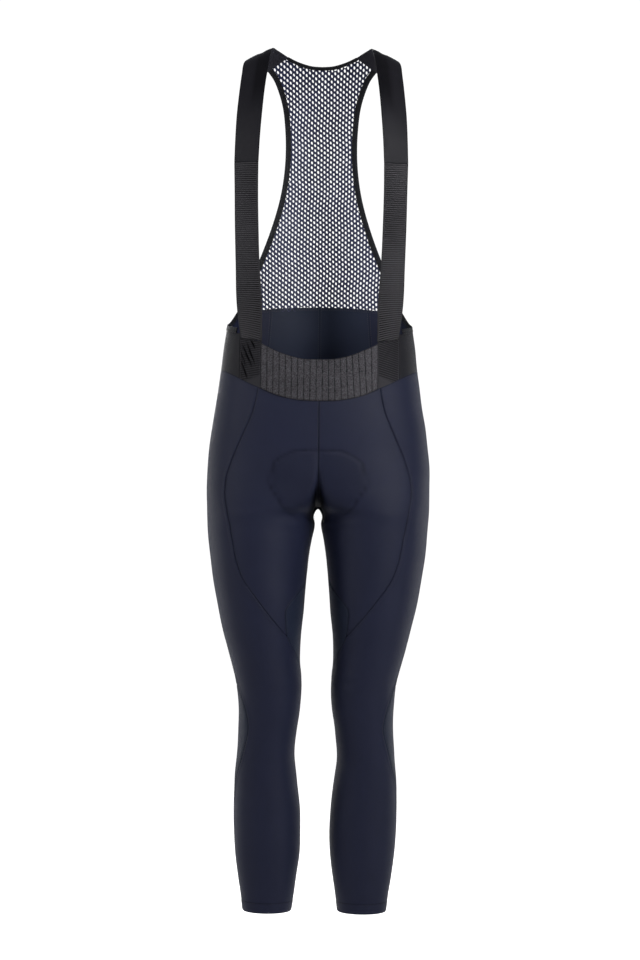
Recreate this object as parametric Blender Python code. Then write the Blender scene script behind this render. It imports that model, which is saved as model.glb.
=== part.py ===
"""Bib knickers in stretch cloth, holding the hollow form that they have when worn.

The wearer faces -Y, so the wearer's left side is +X. The origin lies midway between the two
shoulder straps, level with their tops. Heights are given as a drop below those tops.
Angles run round a section in degrees: -90 at the front of the leg, 0 at its outer side,
90 at its back, and 180 or -180 at the inner leg.
"""

import math

import bmesh
import bpy
import numpy as np

GARMENT = "bib_knickers"

# Driving sizes in metres
CLOTH = 0.0012            # wall of the leg and bib cloth
ELASTIC = 0.0014          # wall of the straps and the waistband
NET = 0.0010              # wall of the net back
TAPE = 0.0018             # wall of the bindings
SEAM = 0.0003             # gap between neighbouring pieces
TAPE_WIDTH = 0.0085       # armhole binding
NECK_TAPE_WIDTH = 0.0068
WAIST_SEAM = 0.0885       # distance from the centre line to the waistband's first seam
SIDE_SEAM = 0.1213        # and to its second seam, which the strap's outer edge meets
WAIST_RIB = 0.0005        # height of the ribs in the waistband's middle
WAIST_RIBS = 19
SIDE_RIB = 0.0004
SIDE_RIB_PITCH = 0.0047
SIDE_RIB_SLOPE = 0.30     # fall of the side ribs towards the side, per metre across
STRAP_BOW = 0.0012
ARMHOLE_STEP = 4          # fine points of the armhole line to each row of pieces along it
NECK_ROWS = 7             # rows of the neck binding from the middle to a strap
CROTCH = 0.718            # drop of the crotch
YOKE = 0.575              # drop below which all rows of the panels are level
HEM = 1.335

# Sections of the body and of one leg: drop, middle of the leg across, half width, front, back,
# depth at which the section is widest, and how full its corners are. The rows above 0.43 carry
# only the back of the bib.
SECTIONS = (
    (0.000, 0.0000, 0.2000, -0.020, 0.026, 0.000, 0.05),
    (0.010, 0.0000, 0.2000, -0.025, 0.051, 0.000, 0.05),
    (0.020, 0.0000, 0.2000, -0.030, 0.065, 0.000, 0.05),
    (0.035, 0.0000, 0.1990, -0.040, 0.078, 0.000, 0.05),
    (0.050, 0.0000, 0.1980, -0.050, 0.087, 0.000, 0.05),
    (0.100, 0.0000, 0.1930, -0.080, 0.106, 0.000, 0.05),
    (0.160, 0.0000, 0.1840, -0.100, 0.115, 0.000, 0.05),
    (0.250, 0.0000, 0.1680, -0.105, 0.111, 0.001, 0.05),
    (0.340, 0.0000, 0.1500, -0.102, 0.098, 0.002, 0.05),
    (0.405, 0.0000, 0.1405, -0.099, 0.090, 0.004, 0.05),
    (0.430, 0.0000, 0.1431, -0.099, 0.089, 0.004, 0.05),
    (0.467, 0.0000, 0.1483, -0.101, 0.090, 0.003, 0.05),
    (0.498, 0.0000, 0.1517, -0.103, 0.094, 0.002, 0.05),
    (0.529, 0.0023, 0.1536, -0.105, 0.102, 0.002, 0.05),
    (0.560, 0.0054, 0.1550, -0.106, 0.113, 0.002, 0.05),
    (0.591, 0.0108, 0.1548, -0.106, 0.122, 0.003, 0.05),
    (0.622, 0.0182, 0.1513, -0.105, 0.129, 0.004, 0.05),
    (0.653, 0.0310, 0.1410, -0.105, 0.132, 0.005, 0.05),
    (0.675, 0.0456, 0.1268, -0.104, 0.130, 0.005, 0.05),
    (0.693, 0.0611, 0.1112, -0.104, 0.125, 0.005, 0.04),
    (0.707, 0.0743, 0.0977, -0.103, 0.119, 0.005, 0.025),
    (0.718, 0.0859, 0.0859, -0.102, 0.114, 0.005, 0.00),
    (0.736, 0.0883, 0.0825, -0.100, 0.106, 0.004, 0.00),
    (0.761, 0.0893, 0.0796, -0.099, 0.098, 0.003, 0.00),
    (0.798, 0.0897, 0.0750, -0.097, 0.091, 0.001, 0.00),
    (0.835, 0.0883, 0.0705, -0.094, 0.085, -0.001, 0.00),
    (0.873, 0.0861, 0.0654, -0.089, 0.079, -0.002, 0.00),
    (0.910, 0.0835, 0.0591, -0.083, 0.073, -0.003, 0.00),
    (0.947, 0.0788, 0.0534, -0.076, 0.066, -0.004, 0.00),
    (0.984, 0.0730, 0.0504, -0.069, 0.060, -0.004, 0.00),
    (1.021, 0.0722, 0.0477, -0.062, 0.057, -0.003, 0.00),
    (1.058, 0.0749, 0.0451, -0.054, 0.060, 0.002, 0.00),
    (1.095, 0.0775, 0.0449, -0.048, 0.068, 0.009, 0.00),
    (1.132, 0.0772, 0.0484, -0.044, 0.076, 0.014, 0.00),
    (1.170, 0.0754, 0.0510, -0.041, 0.080, 0.017, 0.00),
    (1.207, 0.0743, 0.0515, -0.039, 0.080, 0.018, 0.00),
    (1.244, 0.0735, 0.0500, -0.037, 0.076, 0.017, 0.00),
    (1.281, 0.0735, 0.0453, -0.034, 0.067, 0.014, 0.00),
    (1.318, 0.0733, 0.0397, -0.031, 0.057, 0.011, 0.00),
    (1.335, 0.0734, 0.0375, -0.030, 0.052, 0.010, 0.00),
)

# Seams that run down the garment: drop, angle
SIDE_FRONT_SEAM = (
    (0.400, -55.6), (0.500, -55.6), (0.530, -55.6), (0.565, -54.5), (0.602, -50.5),
    (0.638, -46.0), (0.671, -44.0), (0.699, -47.0), (0.722, -54.0), (0.754, -59.0),
    (0.799, -65.5), (0.819, -71.0), (0.848, -86.0), (0.877, -104.0), (0.911, -133.0),
)
INNER_LEG_SEAM = (
    (0.700, -180.0), (0.760, -180.0), (0.800, -178.0), (0.830, -162.0), (0.848, -140.0),
    (0.864, -127.0), (0.885, -127.0), (0.911, -133.2), (0.934, -150.0), (0.952, -171.0),
    (0.975, -190.0), (1.020, -200.0), (1.080, -195.0), (1.200, -188.0), (1.335, -185.0),
)
SIDE_BACK_SEAM = (
    (0.380, 58.0), (0.480, 58.0), (0.520, 58.0), (0.560, 56.0), (0.620, 51.0), (0.700, 43.0),
    (0.800, 33.0), (0.880, 20.0), (0.935, 0.0), (0.985, -22.0), (1.024, -43.0), (1.045, -50.0),
    (1.090, -39.0), (1.140, -18.0), (1.200, -2.0), (1.270, 4.0), (1.335, 6.0),
)
FRONT_POINT = 0.904       # drop at which the front panel runs out above the inner knee
SEAT_SEAM = 0.758         # drop of the seam below the seat, across the back of the leg
KNEE_SEAM = 0.985         # drop of the seam behind the knee
LEVELS = (0.575, 0.601, 0.628, 0.655)   # level rows of the panels down to the crotch's curve
LEG_LEVELS = (
    SEAT_SEAM, 0.781, 0.805, 0.829, 0.853, 0.878, FRONT_POINT, FRONT_POINT + 0.0006, 0.917, 0.929,
    0.941, 0.954, KNEE_SEAM, 1.021, 1.058, 1.095, 1.140, 1.190, 1.240, 1.290, HEM,
)

# Lines that run round the garment: angle, drop
WAIST_TOP = ((-90.0, 0.4860), (-81.0, 0.4853), (-72.0, 0.4800), (-62.0, 0.4700), (-53.0, 0.4590))
WAIST_BOTTOM = (
    (-90.0, 0.5491), (-86.0, 0.5488), (-82.0, 0.5482), (-78.0, 0.5470), (-74.0, 0.5450),
    (-70.0, 0.5425), (-66.0, 0.5392), (-62.0, 0.5352), (-58.0, 0.5308), (-55.6, 0.5280),
    (-48.4, 0.5210), (-41.2, 0.5140), (-33.6, 0.5082), (-26.5, 0.5045), (-15.6, 0.5010),
    (-4.8, 0.4990), (6.0, 0.4985), (12.0, 0.4985),
)
WAIST_ANGLES, WAIST_DROPS = zip(*WAIST_BOTTOM)
STRAP_FOOT = ((-53.0, 0.4580), (-43.0, 0.4550), (-32.0, 0.4525))
WAIST_BACK_SEAM = ((6.0, 0.4985), (14.0, 0.4330))

# Lines across the back: distance from the centre line, drop
NET_FOOT = ((0.0000, 0.3954), (0.0500, 0.3968), (0.0924, 0.4010), (0.1300, 0.4057))
NECK = ((0.0000, 0.0190), (0.0160, 0.0180), (0.0340, 0.0138), (0.0532, 0.0068), (0.0750, -0.0040))
ARMHOLE_BACK = (
    (0.0960, 0.0130), (0.0857, 0.0261), (0.0762, 0.0383), (0.0685, 0.0555), (0.0615, 0.0800),
    (0.0580, 0.1090), (0.0567, 0.1461), (0.0590, 0.1843), (0.0652, 0.2229), (0.0755, 0.2616),
    (0.0886, 0.3007), (0.1040, 0.3400), (0.1180, 0.3760), (0.1290, 0.4053),
)
ARMHOLE_SIDE = ((14.0, 0.4240), (2.0, 0.4285), (-10.0, 0.4312), (-21.0, 0.4337), (-32.6, 0.4365))
SHOULDER_SEAM = ((0.0532, 0.0068), (0.0857, 0.0261))

# Edges of a shoulder strap from the front of the waist up over the shoulder to its back seam:
# inner x, y, drop and outer x, y, drop
LOWER_STRAP = (
    (0.0883, -0.0880, 0.4060, 0.1268, -0.0640, 0.4040),
    (0.0925, -0.0960, 0.3400, 0.1290, -0.0720, 0.3390),
    (0.0945, -0.1005, 0.2800, 0.1305, -0.0790, 0.2790),
    (0.0954, -0.1020, 0.2300, 0.1312, -0.0825, 0.2290),
)
STRAP_JOIN = (0.0953, -0.1005, 0.1895, 0.1320, -0.0830, 0.1885)
UPPER_STRAP = (
    (0.0936, -0.0985, 0.1534, 0.1310, -0.0810, 0.1540),
    (0.0907, -0.0900, 0.1120, 0.1294, -0.0720, 0.1160),
    (0.0873, -0.0715, 0.0720, 0.1264, -0.0550, 0.0780),
    (0.0831, -0.0480, 0.0370, 0.1236, -0.0350, 0.0480),
    (0.0794, -0.0230, 0.0110, 0.1210, -0.0160, 0.0265),
    (0.0764, 0.0000, 0.0000, 0.1166, 0.0020, 0.0190),
    (0.0700, 0.0220, 0.0000, 0.1070, 0.0240, 0.0170),
)

# Outline of the seat pad inside, which raises the front panels: drop, half width
PAD_OUTLINE = (
    (0.6225, 0.0000), (0.6240, 0.0300), (0.6265, 0.0410), (0.6390, 0.0633), (0.6530, 0.0698),
    (0.6745, 0.0735), (0.6960, 0.0608), (0.7126, 0.0492), (0.7280, 0.0306), (0.7450, 0.0000),
)
PAD_RELIEF = 0.0009       # height to which the pad raises the cloth
PAD_SLOPE = 0.0080        # width of the slope at its edge

NAVY = (0.0145, 0.0170, 0.0300)
CHARCOAL = (0.0180, 0.0175, 0.0215)
GREY = (0.0450, 0.0440, 0.0510)
BLACK = (0.0105, 0.0110, 0.0130)


def smooth_curve(table):
    """Return a function that reads every later column of a table at a value of its first column."""
    table = np.asarray(table, float)
    place = table[:, 0]
    value = table[:, 1:]
    step = np.diff(place)
    slope = np.diff(value, axis=0) / step[:, None]
    before, after = step[:-1, None], step[1:, None]
    middle = (slope[:-1] * after + slope[1:] * before) / (before + after)
    tangent = np.vstack([slope[:1], middle, slope[-1:]])

    def read(at):
        at = min(max(at, place[0]), place[-1])
        i = min(max(int(np.searchsorted(place, at, side="right")) - 1, 0), len(step) - 1)
        t = (at - place[i]) / step[i]
        rise = 3 * t ** 2 - 2 * t ** 3
        start = t ** 3 - 2 * t ** 2 + t
        end = t ** 3 - t ** 2
        result = value[i] * (1 - rise) + value[i + 1] * rise
        result = result + step[i] * (start * tangent[i] + end * tangent[i + 1])
        return float(result[0]) if len(result) == 1 else result

    return read


section = smooth_curve(SECTIONS)
side_front_seam = smooth_curve(SIDE_FRONT_SEAM)
inner_leg_seam = smooth_curve(INNER_LEG_SEAM)
side_back_seam = smooth_curve(SIDE_BACK_SEAM)
waist_top = smooth_curve(WAIST_TOP)
strap_foot = smooth_curve(STRAP_FOOT)
net_foot = smooth_curve(NET_FOOT)
neck = smooth_curve(NECK)


def waist_bottom(angle):
    """Drop of the waistband's lower edge, straight between the panels' own columns."""
    return float(np.interp(angle, WAIST_ANGLES, WAIST_DROPS))


def unit(vector):
    """Scale a vector to length one."""
    return vector / np.linalg.norm(vector)


def reach_across(angle, drop):
    """Distance from the centre line at an angle of a section."""
    middle, half_width, _front, _back, _depth, fullness = section(drop)
    turn = math.radians(angle)
    return middle + half_width * math.cos(turn) * (1 + fullness * math.sin(2 * turn) ** 2)


def body_point(angle, drop):
    """Point of the cloth's outer face on the wearer's left side."""
    _middle, _half_width, front, back, depth, fullness = section(drop)
    turn = math.radians(angle)
    span = back - depth if math.sin(turn) > 0 else depth - front
    y = depth + span * math.sin(turn) * (1 + fullness * math.sin(2 * turn) ** 2)
    return np.array([reach_across(angle, drop), y, -drop])


def body_normal(angle, drop):
    """Outward direction of the cloth at a point."""
    round_it = body_point(angle + 0.05, drop) - body_point(angle - 0.05, drop)
    upward = body_point(angle, drop - 0.0002) - body_point(angle, drop + 0.0002)
    return unit(np.cross(round_it, upward))


def angle_across(distance, drop, way):
    """Angle in front (way -1) or behind (way 1) at a distance from the centre line."""
    low, high = 0.0, 180.0
    if drop < CROTCH - 0.05:
        high = 120.0
    for _ in range(40):
        middle = (low + high) / 2
        if reach_across(middle, drop) > distance:
            low = middle
        else:
            high = middle
    return way * low


def half_turn(drop):
    """Angle from the outer side to the centre seam, or to the inner leg below the crotch."""
    _middle, _half_width, front, _back, depth, _fullness = section(drop)
    limit = 180.0 - math.degrees(SEAM / 2 / (depth - front))
    if reach_across(limit, drop) > SEAM / 2:
        return limit
    return min(limit, angle_across(SEAM / 2, drop, 1))


def across_centre(distance, drop, way):
    """Point and outward direction at a signed distance from the centre line."""
    angle = angle_across(max(abs(distance), 1e-5), drop, way)
    side = -1.0 if distance < 0 else 1.0
    point = body_point(angle, drop) * (side, 1, 1)
    normal = body_normal(angle, drop) * (side, 1, 1)
    point[0] = distance
    if abs(distance) < 1e-5:
        normal[0] = 0.0
    return point, unit(normal)


def add_material(name, colour, roughness=0.75):
    """A plain cloth material."""
    material = bpy.data.materials.new(name)
    material.use_nodes = True
    shader = material.node_tree.nodes["Principled BSDF"]
    shader.inputs["Base Color"].default_value = (*colour, 1.0)
    shader.inputs["Roughness"].default_value = roughness
    shader.inputs["Metallic"].default_value = 0.0
    return material


def wall(name, outer, inner, colour, mirrored=False):
    """Add a closed wall between an outer and an inner grid of points."""
    outer = np.asarray(outer, float)
    inner = np.asarray(inner, float)
    rows, columns, _ = outer.shape
    points = np.vstack([outer.reshape(-1, 3), inner.reshape(-1, 3)])
    if mirrored:
        points = points * (-1, 1, 1)
    depth = rows * columns

    def at(row, column):
        return row * columns + column

    # Both faces are cut along the same diagonals, the shorter ones, or bent cells would cross
    faces = []
    for row in range(rows - 1):
        for column in range(columns - 1):
            a, b = at(row, column), at(row + 1, column)
            c, d = at(row + 1, column + 1), at(row, column + 1)
            if np.linalg.norm(points[a] - points[c]) <= np.linalg.norm(points[b] - points[d]):
                halves = ((a, b, c), (a, c, d))
            else:
                halves = ((a, b, d), (b, c, d))
            for half in halves:
                faces.append(half)
                faces.append(tuple(depth + corner for corner in reversed(half)))
    rim = [at(row, 0) for row in range(rows)]
    rim += [at(rows - 1, column) for column in range(1, columns)]
    rim += [at(row, columns - 1) for row in range(rows - 2, -1, -1)]
    rim += [at(0, column) for column in range(columns - 2, 0, -1)]
    for here, following in zip(rim, rim[1:] + rim[:1]):
        faces.append((following, here, depth + here, depth + following))

    mesh = bpy.data.meshes.new(name)
    mesh.from_pydata([tuple(point) for point in points], [], faces)
    mesh.materials.append(add_material(name, colour))
    shape = bmesh.new()
    shape.from_mesh(mesh)
    bmesh.ops.recalc_face_normals(shape, faces=shape.faces)
    shape.to_mesh(mesh)
    shape.free()
    mesh.shade_smooth()
    mesh.set_sharp_from_angle(angle=math.radians(40))
    piece = bpy.data.objects.new(name, mesh)
    bpy.data.collections[GARMENT].objects.link(piece)
    return piece


def pair_of_walls(name, outer, inner, colour):
    """Add a piece for the wearer's left side and its twin for the right."""
    wall(name + "_left", outer, inner, colour)
    wall(name + "_right", outer, inner, colour, mirrored=True)


def pad_relief(point):
    """Height by which the seat pad inside raises the cloth at a point."""
    drops, widths = zip(*PAD_OUTLINE)
    inside = np.interp(-point[2], drops, widths, left=-PAD_SLOPE, right=-PAD_SLOPE) - point[0]
    share = min(max(min(inside, point[0] - SEAM) / PAD_SLOPE, 0.0), 1.0)
    return PAD_RELIEF * share * share * (3 - 2 * share)


def column_end(angle_at, edge, start):
    """Drop at which a column that follows angle_at meets an edge given by angle."""
    drop = start
    for _ in range(12):
        drop = edge(angle_at(drop))
    return drop


def panel(name, front_edge, back_edge, top_edge, columns, drops, colour, top_rows=3,
          bottom_edge=None, thickness=CLOTH, relief=None):
    """Add the left and right walls of a panel.

    The front and back edges give an angle at a drop, the top and bottom edges a drop at an
    angle. Columns are fractions from the front edge to the back edge. Drops are the level rows
    below the top rows. Relief raises the outer face.
    """
    outer, inner = [], []
    for share in columns:
        def angle_at(drop, share=share):
            return front_edge(drop) + share * (back_edge(drop) - front_edge(drop))

        first = column_end(angle_at, top_edge, YOKE - 0.07)
        last = drops[0] if bottom_edge is None else column_end(angle_at, bottom_edge, YOKE - 0.07)
        stretch = [first + (last - first) * row / top_rows for row in range(top_rows)]
        stretch += [last] if bottom_edge else list(drops)
        outer_column, inner_column = [], []
        for drop in stretch:
            angle = angle_at(drop)
            point = body_point(angle, drop)
            normal = body_normal(angle, drop)
            raised = relief(point) if relief else 0.0
            outer_column.append(point + normal * raised)
            inner_column.append(point - normal * thickness)
        outer.append(outer_column)
        inner.append(inner_column)
    outer = np.array(outer).transpose(1, 0, 2)
    inner = np.array(inner).transpose(1, 0, 2)
    pair_of_walls(name, outer, inner, colour)


def gap_angle(angle, drop, width=SEAM / 2):
    """Angle that spans a short way round a section."""
    step = np.linalg.norm(body_point(angle + 0.5, drop) - body_point(angle - 0.5, drop))
    return width / step


def chart_step(angle, drop, vector):
    """Change of angle and drop that moves a point of the cloth by a short vector."""
    round_it = (body_point(angle + 0.1, drop) - body_point(angle - 0.1, drop)) / 0.2
    down = (body_point(angle, drop + 0.0005) - body_point(angle, drop - 0.0005)) / 0.001
    return np.linalg.lstsq(np.stack([round_it, down], axis=1), vector, rcond=None)[0]


def inset(chain, distances, steps=1):
    """Move a line of (angle, drop) points sideways within the cloth.

    The line moves towards the cross product of the outward direction and its own direction.
    """
    chain = np.array(chain, float)
    distances = np.broadcast_to(distances, len(chain))
    for _ in range(steps):
        points = np.array([body_point(angle, drop) for angle, drop in chain])
        along = np.gradient(points, axis=0)
        moved = chain.copy()
        for i, (angle, drop) in enumerate(chain):
            sideways = unit(np.cross(body_normal(angle, drop), along[i]))
            moved[i] += chart_step(angle, drop, sideways * distances[i] / steps)
        chain = moved
    return chain


def shoulder_line(distance):
    """Drop of the seam between the net back and a strap, at a distance from the centre line."""
    (x0, drop0), (x1, drop1) = SHOULDER_SEAM
    return drop0 + (distance - x0) * (drop1 - drop0) / (x1 - x0)


def below_shoulder(chain):
    """Cut a line of (angle, drop) points where it passes the seam under a strap."""
    clear = SEAM / 2 * 1.2
    height = [drop - shoulder_line(reach_across(angle, drop)) - clear for angle, drop in chain]
    kept = []
    for i, above in enumerate(height):
        if above >= 0:
            kept.append(chain[i])
        for j in (i - 1, i + 1):
            if above < 0 and 0 <= j < len(chain) and height[j] >= 0:
                share = height[j] / (height[j] - above)
                kept.append(chain[j] + (chain[i] - chain[j]) * share)
    return np.array(kept)


def evenly(chain, count):
    """Take points at even distances along a line of (angle, drop) points."""
    points = np.array([body_point(angle, drop) for angle, drop in chain])
    run = np.concatenate([[0.0], np.cumsum(np.linalg.norm(np.diff(points, axis=0), axis=1))])
    places = np.linspace(0.0, run[-1], count)
    return np.stack([np.interp(places, run, chain[:, 0]), np.interp(places, run, chain[:, 1])], axis=1)


def fine_line(rows, count):
    """Fine line of (angle, drop) points through rows of angle and drop."""
    points = np.array([body_point(angle, drop) for angle, drop in rows])
    run = np.concatenate([[0.0], np.cumsum(np.linalg.norm(np.diff(points, axis=0), axis=1))])
    read = smooth_curve(np.column_stack([run, np.asarray(rows)]))
    return np.array([read(place) for place in np.linspace(0.0, run[-1], count)])


def back_rows(rows):
    """Turn rows of distance and drop on the back into rows of angle and drop."""
    return [(angle_across(max(distance, 1e-5), drop, 1), drop) for distance, drop in rows]


armhole_line = fine_line(back_rows(ARMHOLE_BACK) + list(ARMHOLE_SIDE), 111)
neck_line = fine_line(back_rows(NECK), 40)
armhole_inner = inset(armhole_line, TAPE_WIDTH)
armhole_panel = inset(armhole_line, TAPE_WIDTH + SEAM)
neck_inner = inset(neck_line, NECK_TAPE_WIDTH)
neck_panel = inset(neck_line, NECK_TAPE_WIDTH + SEAM)


def armhole_stops(chain):
    """Points of a line beside the armhole at which all pieces along it have a row."""
    first = next(i for i in range(0, len(armhole_line), ARMHOLE_STEP)
                 if armhole_line[i, 1] > ARMHOLE_BACK[1][1] + 0.002)
    return np.vstack([below_shoulder(chain)[:1], chain[first::ARMHOLE_STEP]])


def side_panel_top(angle):
    """Upper edge of the side panel: waistband, its back seam, the binding, then the net."""
    (low_angle, low_drop), (high_angle, high_drop) = WAIST_BACK_SEAM
    if angle <= low_angle:
        return waist_bottom(angle) + SEAM
    armhole = np.interp(angle, armhole_panel[::-1, 0], armhole_panel[::-1, 1])
    net = net_foot(reach_across(angle, 0.40)) + SEAM / 2
    top = max(armhole + SEAM, net)
    share = (angle - gap_angle(angle, low_drop, SEAM) - low_angle) / (high_angle - low_angle)
    if share < 1:
        top = max(top, low_drop + share * (high_drop - low_drop) + SEAM / 2)
    return top


def waist_side_top(angle):
    """Upper edge of the smooth side of the waistband, under the armhole binding."""
    return np.interp(angle, armhole_panel[::-1, 0], armhole_panel[::-1, 1])


def waist_back_seam(drop):
    """Angle of the seam behind the smooth side of the waistband."""
    (low_angle, low_drop), (high_angle, high_drop) = WAIST_BACK_SEAM
    share = (drop - low_drop) / (high_drop - low_drop)
    angle = low_angle + share * (high_angle - low_angle)
    return angle - gap_angle(angle, drop)


def level_rows(last):
    """Drops of the level rows: closer together round the crotch, where the legs part."""
    rows = list(LEVELS[:-1])
    deep = CROTCH - LEVELS[-1]
    rows += [CROTCH - deep * share ** 2 for share in (1.0, 0.83, 0.66, 0.50, 0.33, 0.17, 0.0)]
    rows += [CROTCH + (LEG_LEVELS[0] - CROTCH) * share ** 2 for share in (0.35, 0.65)]
    return rows + [drop for drop in LEG_LEVELS if drop <= last]


def centre_front(drop):
    """Front edge of the front panel: the centre seam, then the inner leg seam."""
    if drop <= CROTCH:
        return -half_turn(drop)
    seam = inner_leg_seam(drop)
    return seam + gap_angle(seam, drop)


def centre_back(drop):
    """Back edge of the panels behind: the centre seam, then the inner leg seam."""
    if drop <= CROTCH:
        return half_turn(drop)
    seam = inner_leg_seam(drop) + 360.0
    return seam - gap_angle(seam, drop)


def side_front(drop):
    """Front edge of the side panel: the side front seam, then the inner leg seam."""
    return side_front_seam(drop) if drop <= FRONT_POINT else inner_leg_seam(drop)


def build_legs():
    """Front and side panels of both legs, and the seat, back thigh and calf panels behind."""
    drops = level_rows(FRONT_POINT)
    drops[-1] -= SEAM
    front_angle = SIDE_FRONT_SEAM[0][1]
    shares = [(angle + 90.0) / (front_angle + 90.0) for angle in WAIST_ANGLES if angle <= front_angle]
    panel("front", centre_front, lambda drop: side_front(drop) - gap_angle(side_front(drop), drop),
          lambda angle: waist_bottom(angle) + SEAM, shares, drops, NAVY, relief=pad_relief)

    spread = SIDE_BACK_SEAM[0][1] - front_angle
    angles = [angle for angle in WAIST_ANGLES if front_angle <= angle <= WAIST_BACK_SEAM[0][0]]
    angles += [WAIST_BACK_SEAM[1][0], 19.0, 24.0, 29.0, 38.0, 48.0, SIDE_BACK_SEAM[0][1]]
    shares = [(angle - front_angle) / spread for angle in angles]
    panel("side", lambda drop: side_front(drop) + gap_angle(side_front(drop), drop),
          lambda drop: side_back_seam(drop) - gap_angle(side_back_seam(drop), drop),
          side_panel_top, shares, level_rows(HEM), NAVY, top_rows=4)

    def back_front_edge(drop):
        return side_back_seam(drop) + gap_angle(side_back_seam(drop), drop)

    drops = level_rows(HEM)
    seat = [drop for drop in drops if drop < SEAT_SEAM] + [SEAT_SEAM - SEAM / 2]
    thigh = [drop for drop in drops if SEAT_SEAM < drop < KNEE_SEAM] + [KNEE_SEAM - SEAM / 2]
    calf = [drop for drop in drops if drop > KNEE_SEAM]
    columns = np.linspace(0.0, 1.0, 11)
    panel("seat", back_front_edge, centre_back, lambda angle: net_foot(reach_across(angle, 0.40)) + SEAM / 2,
          columns, seat, NAVY, top_rows=4)
    panel("thigh_back", back_front_edge, centre_back, lambda angle: SEAT_SEAM + SEAM / 2,
          columns, thigh, NAVY, top_rows=1)
    panel("calf", back_front_edge, centre_back, lambda angle: KNEE_SEAM + SEAM / 2,
          columns, calf, NAVY, top_rows=1)


def centre_wall(name, distances, top, bottom, rows, way, thickness, colour, relief=None):
    """Add one wall across the centre line, between two edges given by distance."""
    outer, inner = [], []
    for row in range(rows + 1):
        outer_row, inner_row = [], []
        for distance in distances:
            share = row / rows
            drop = top(distance) + share * (bottom(distance) - top(distance))
            point, normal = across_centre(distance, drop, way)
            raised = relief(distance) if relief else 0.0
            outer_row.append(point + normal * raised)
            inner_row.append(point - normal * thickness)
        outer.append(outer_row)
        inner.append(inner_row)
    wall(name, outer, inner, colour)


def waist_distance_line(line):
    """Turn an edge given by angle into one given by distance from the centre line."""
    def read(distance):
        drop = 0.50
        for _ in range(8):
            drop = line(angle_across(max(abs(distance), 1e-5), drop, -1))
        return drop

    return read


def build_waistband():
    """Ribbed middle, ribbed pieces under the straps and smooth sides."""
    half = WAIST_SEAM - SEAM / 2
    pitch = 2 * half / WAIST_RIBS
    distances = []
    for rib in range(WAIST_RIBS):
        for share in (0.0, 0.14, 0.5, 0.86):
            distances.append(-half + (rib + share) * pitch)
    distances.append(half)

    def ribs(distance):
        share = ((distance + half) / pitch) % 1.0
        edge = min(share, 1.0 - share)
        return WAIST_RIB * min(1.0, edge / 0.14)

    bottom = waist_distance_line(waist_bottom)
    centre_wall("waist_front", distances, waist_distance_line(waist_top), bottom, 4, -1, ELASTIC,
                GREY, ribs)

    def side_ribs(point):
        fall = -point[2] - SIDE_RIB_SLOPE * (point[0] - WAIST_SEAM)
        return SIDE_RIB * (0.5 - 0.5 * math.cos(2 * math.pi * fall / SIDE_RIB_PITCH))

    def rib_front(drop):
        return angle_across(WAIST_SEAM + SEAM / 2, drop, -1)

    def rib_back(drop):
        return angle_across(SIDE_SEAM - SEAM / 2, drop, -1)

    def side_start(drop):
        return angle_across(SIDE_SEAM + SEAM / 2, drop, -1)

    panel("waist_rib", rib_front, rib_back, strap_foot, (0.0, 0.5, 1.0), (YOKE,),
          CHARCOAL, top_rows=42, bottom_edge=waist_bottom, thickness=ELASTIC, relief=side_ribs)
    shares = [0.0]
    for angle, drop in WAIST_BOTTOM:
        share = (angle - side_start(drop)) / (waist_back_seam(drop) - side_start(drop))
        if 0.05 < share < 0.95:
            shares += [(shares[-1] + share) / 2, share]
    shares += [(shares[-1] + 1.0) / 2, 1.0]
    panel("waist_side", side_start, waist_back_seam, waist_side_top, shares, (YOKE,), CHARCOAL,
          top_rows=4, bottom_edge=waist_bottom, thickness=CLOTH)


def strap_grid(rows, count, across, end_normals):
    """Points of a strap between its inner and outer edges, bowed a little outwards.

    The first and last row take the outward direction given for them, or None to keep their own.
    """
    rows = np.asarray(rows, float)
    centres = (rows[:, :3] + rows[:, 3:]) / 2
    run = np.concatenate([[0.0], np.cumsum(np.linalg.norm(np.diff(centres, axis=0), axis=1))])
    read = smooth_curve(np.column_stack([run, rows]))
    grid = np.zeros((count + 1, across + 1, 3))
    for i in range(count + 1):
        edges = read(run[-1] * i / count)
        for j in range(across + 1):
            grid[i, j] = edges[:3] + (edges[3:] - edges[:3]) * j / across
    along = np.gradient(grid, axis=0)
    sideways = np.gradient(grid, axis=1)
    normal = np.cross(sideways, along)
    normal /= np.linalg.norm(normal, axis=2, keepdims=True)
    for row, step, given in ((0, 1, end_normals[0]), (count, -1, end_normals[1])):
        if given is not None:
            normal[row] = given
            normal[row + step] = (normal[row] + normal[row + 2 * step]) / 2
            normal[row + step] /= np.linalg.norm(normal[row + step], axis=1, keepdims=True)
    share = np.linspace(0.0, 1.0, across + 1)
    bow = STRAP_BOW * 4 * share * (1 - share)
    fade = np.minimum(1.0, np.minimum(np.arange(count + 1), np.arange(count, -1, -1)) / 3)
    return grid + normal * bow[None, :, None] * fade[:, None, None], normal


def edges_as_points(rows):
    """Turn rows of x, y, drop for the inner and outer edge into rows of points."""
    return [(a, b, -c, d, e, -f) for a, b, c, d, e, f in rows]


def on_body(angle, drop):
    """A point of the body as a row part."""
    return tuple(body_point(angle, drop))


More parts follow.
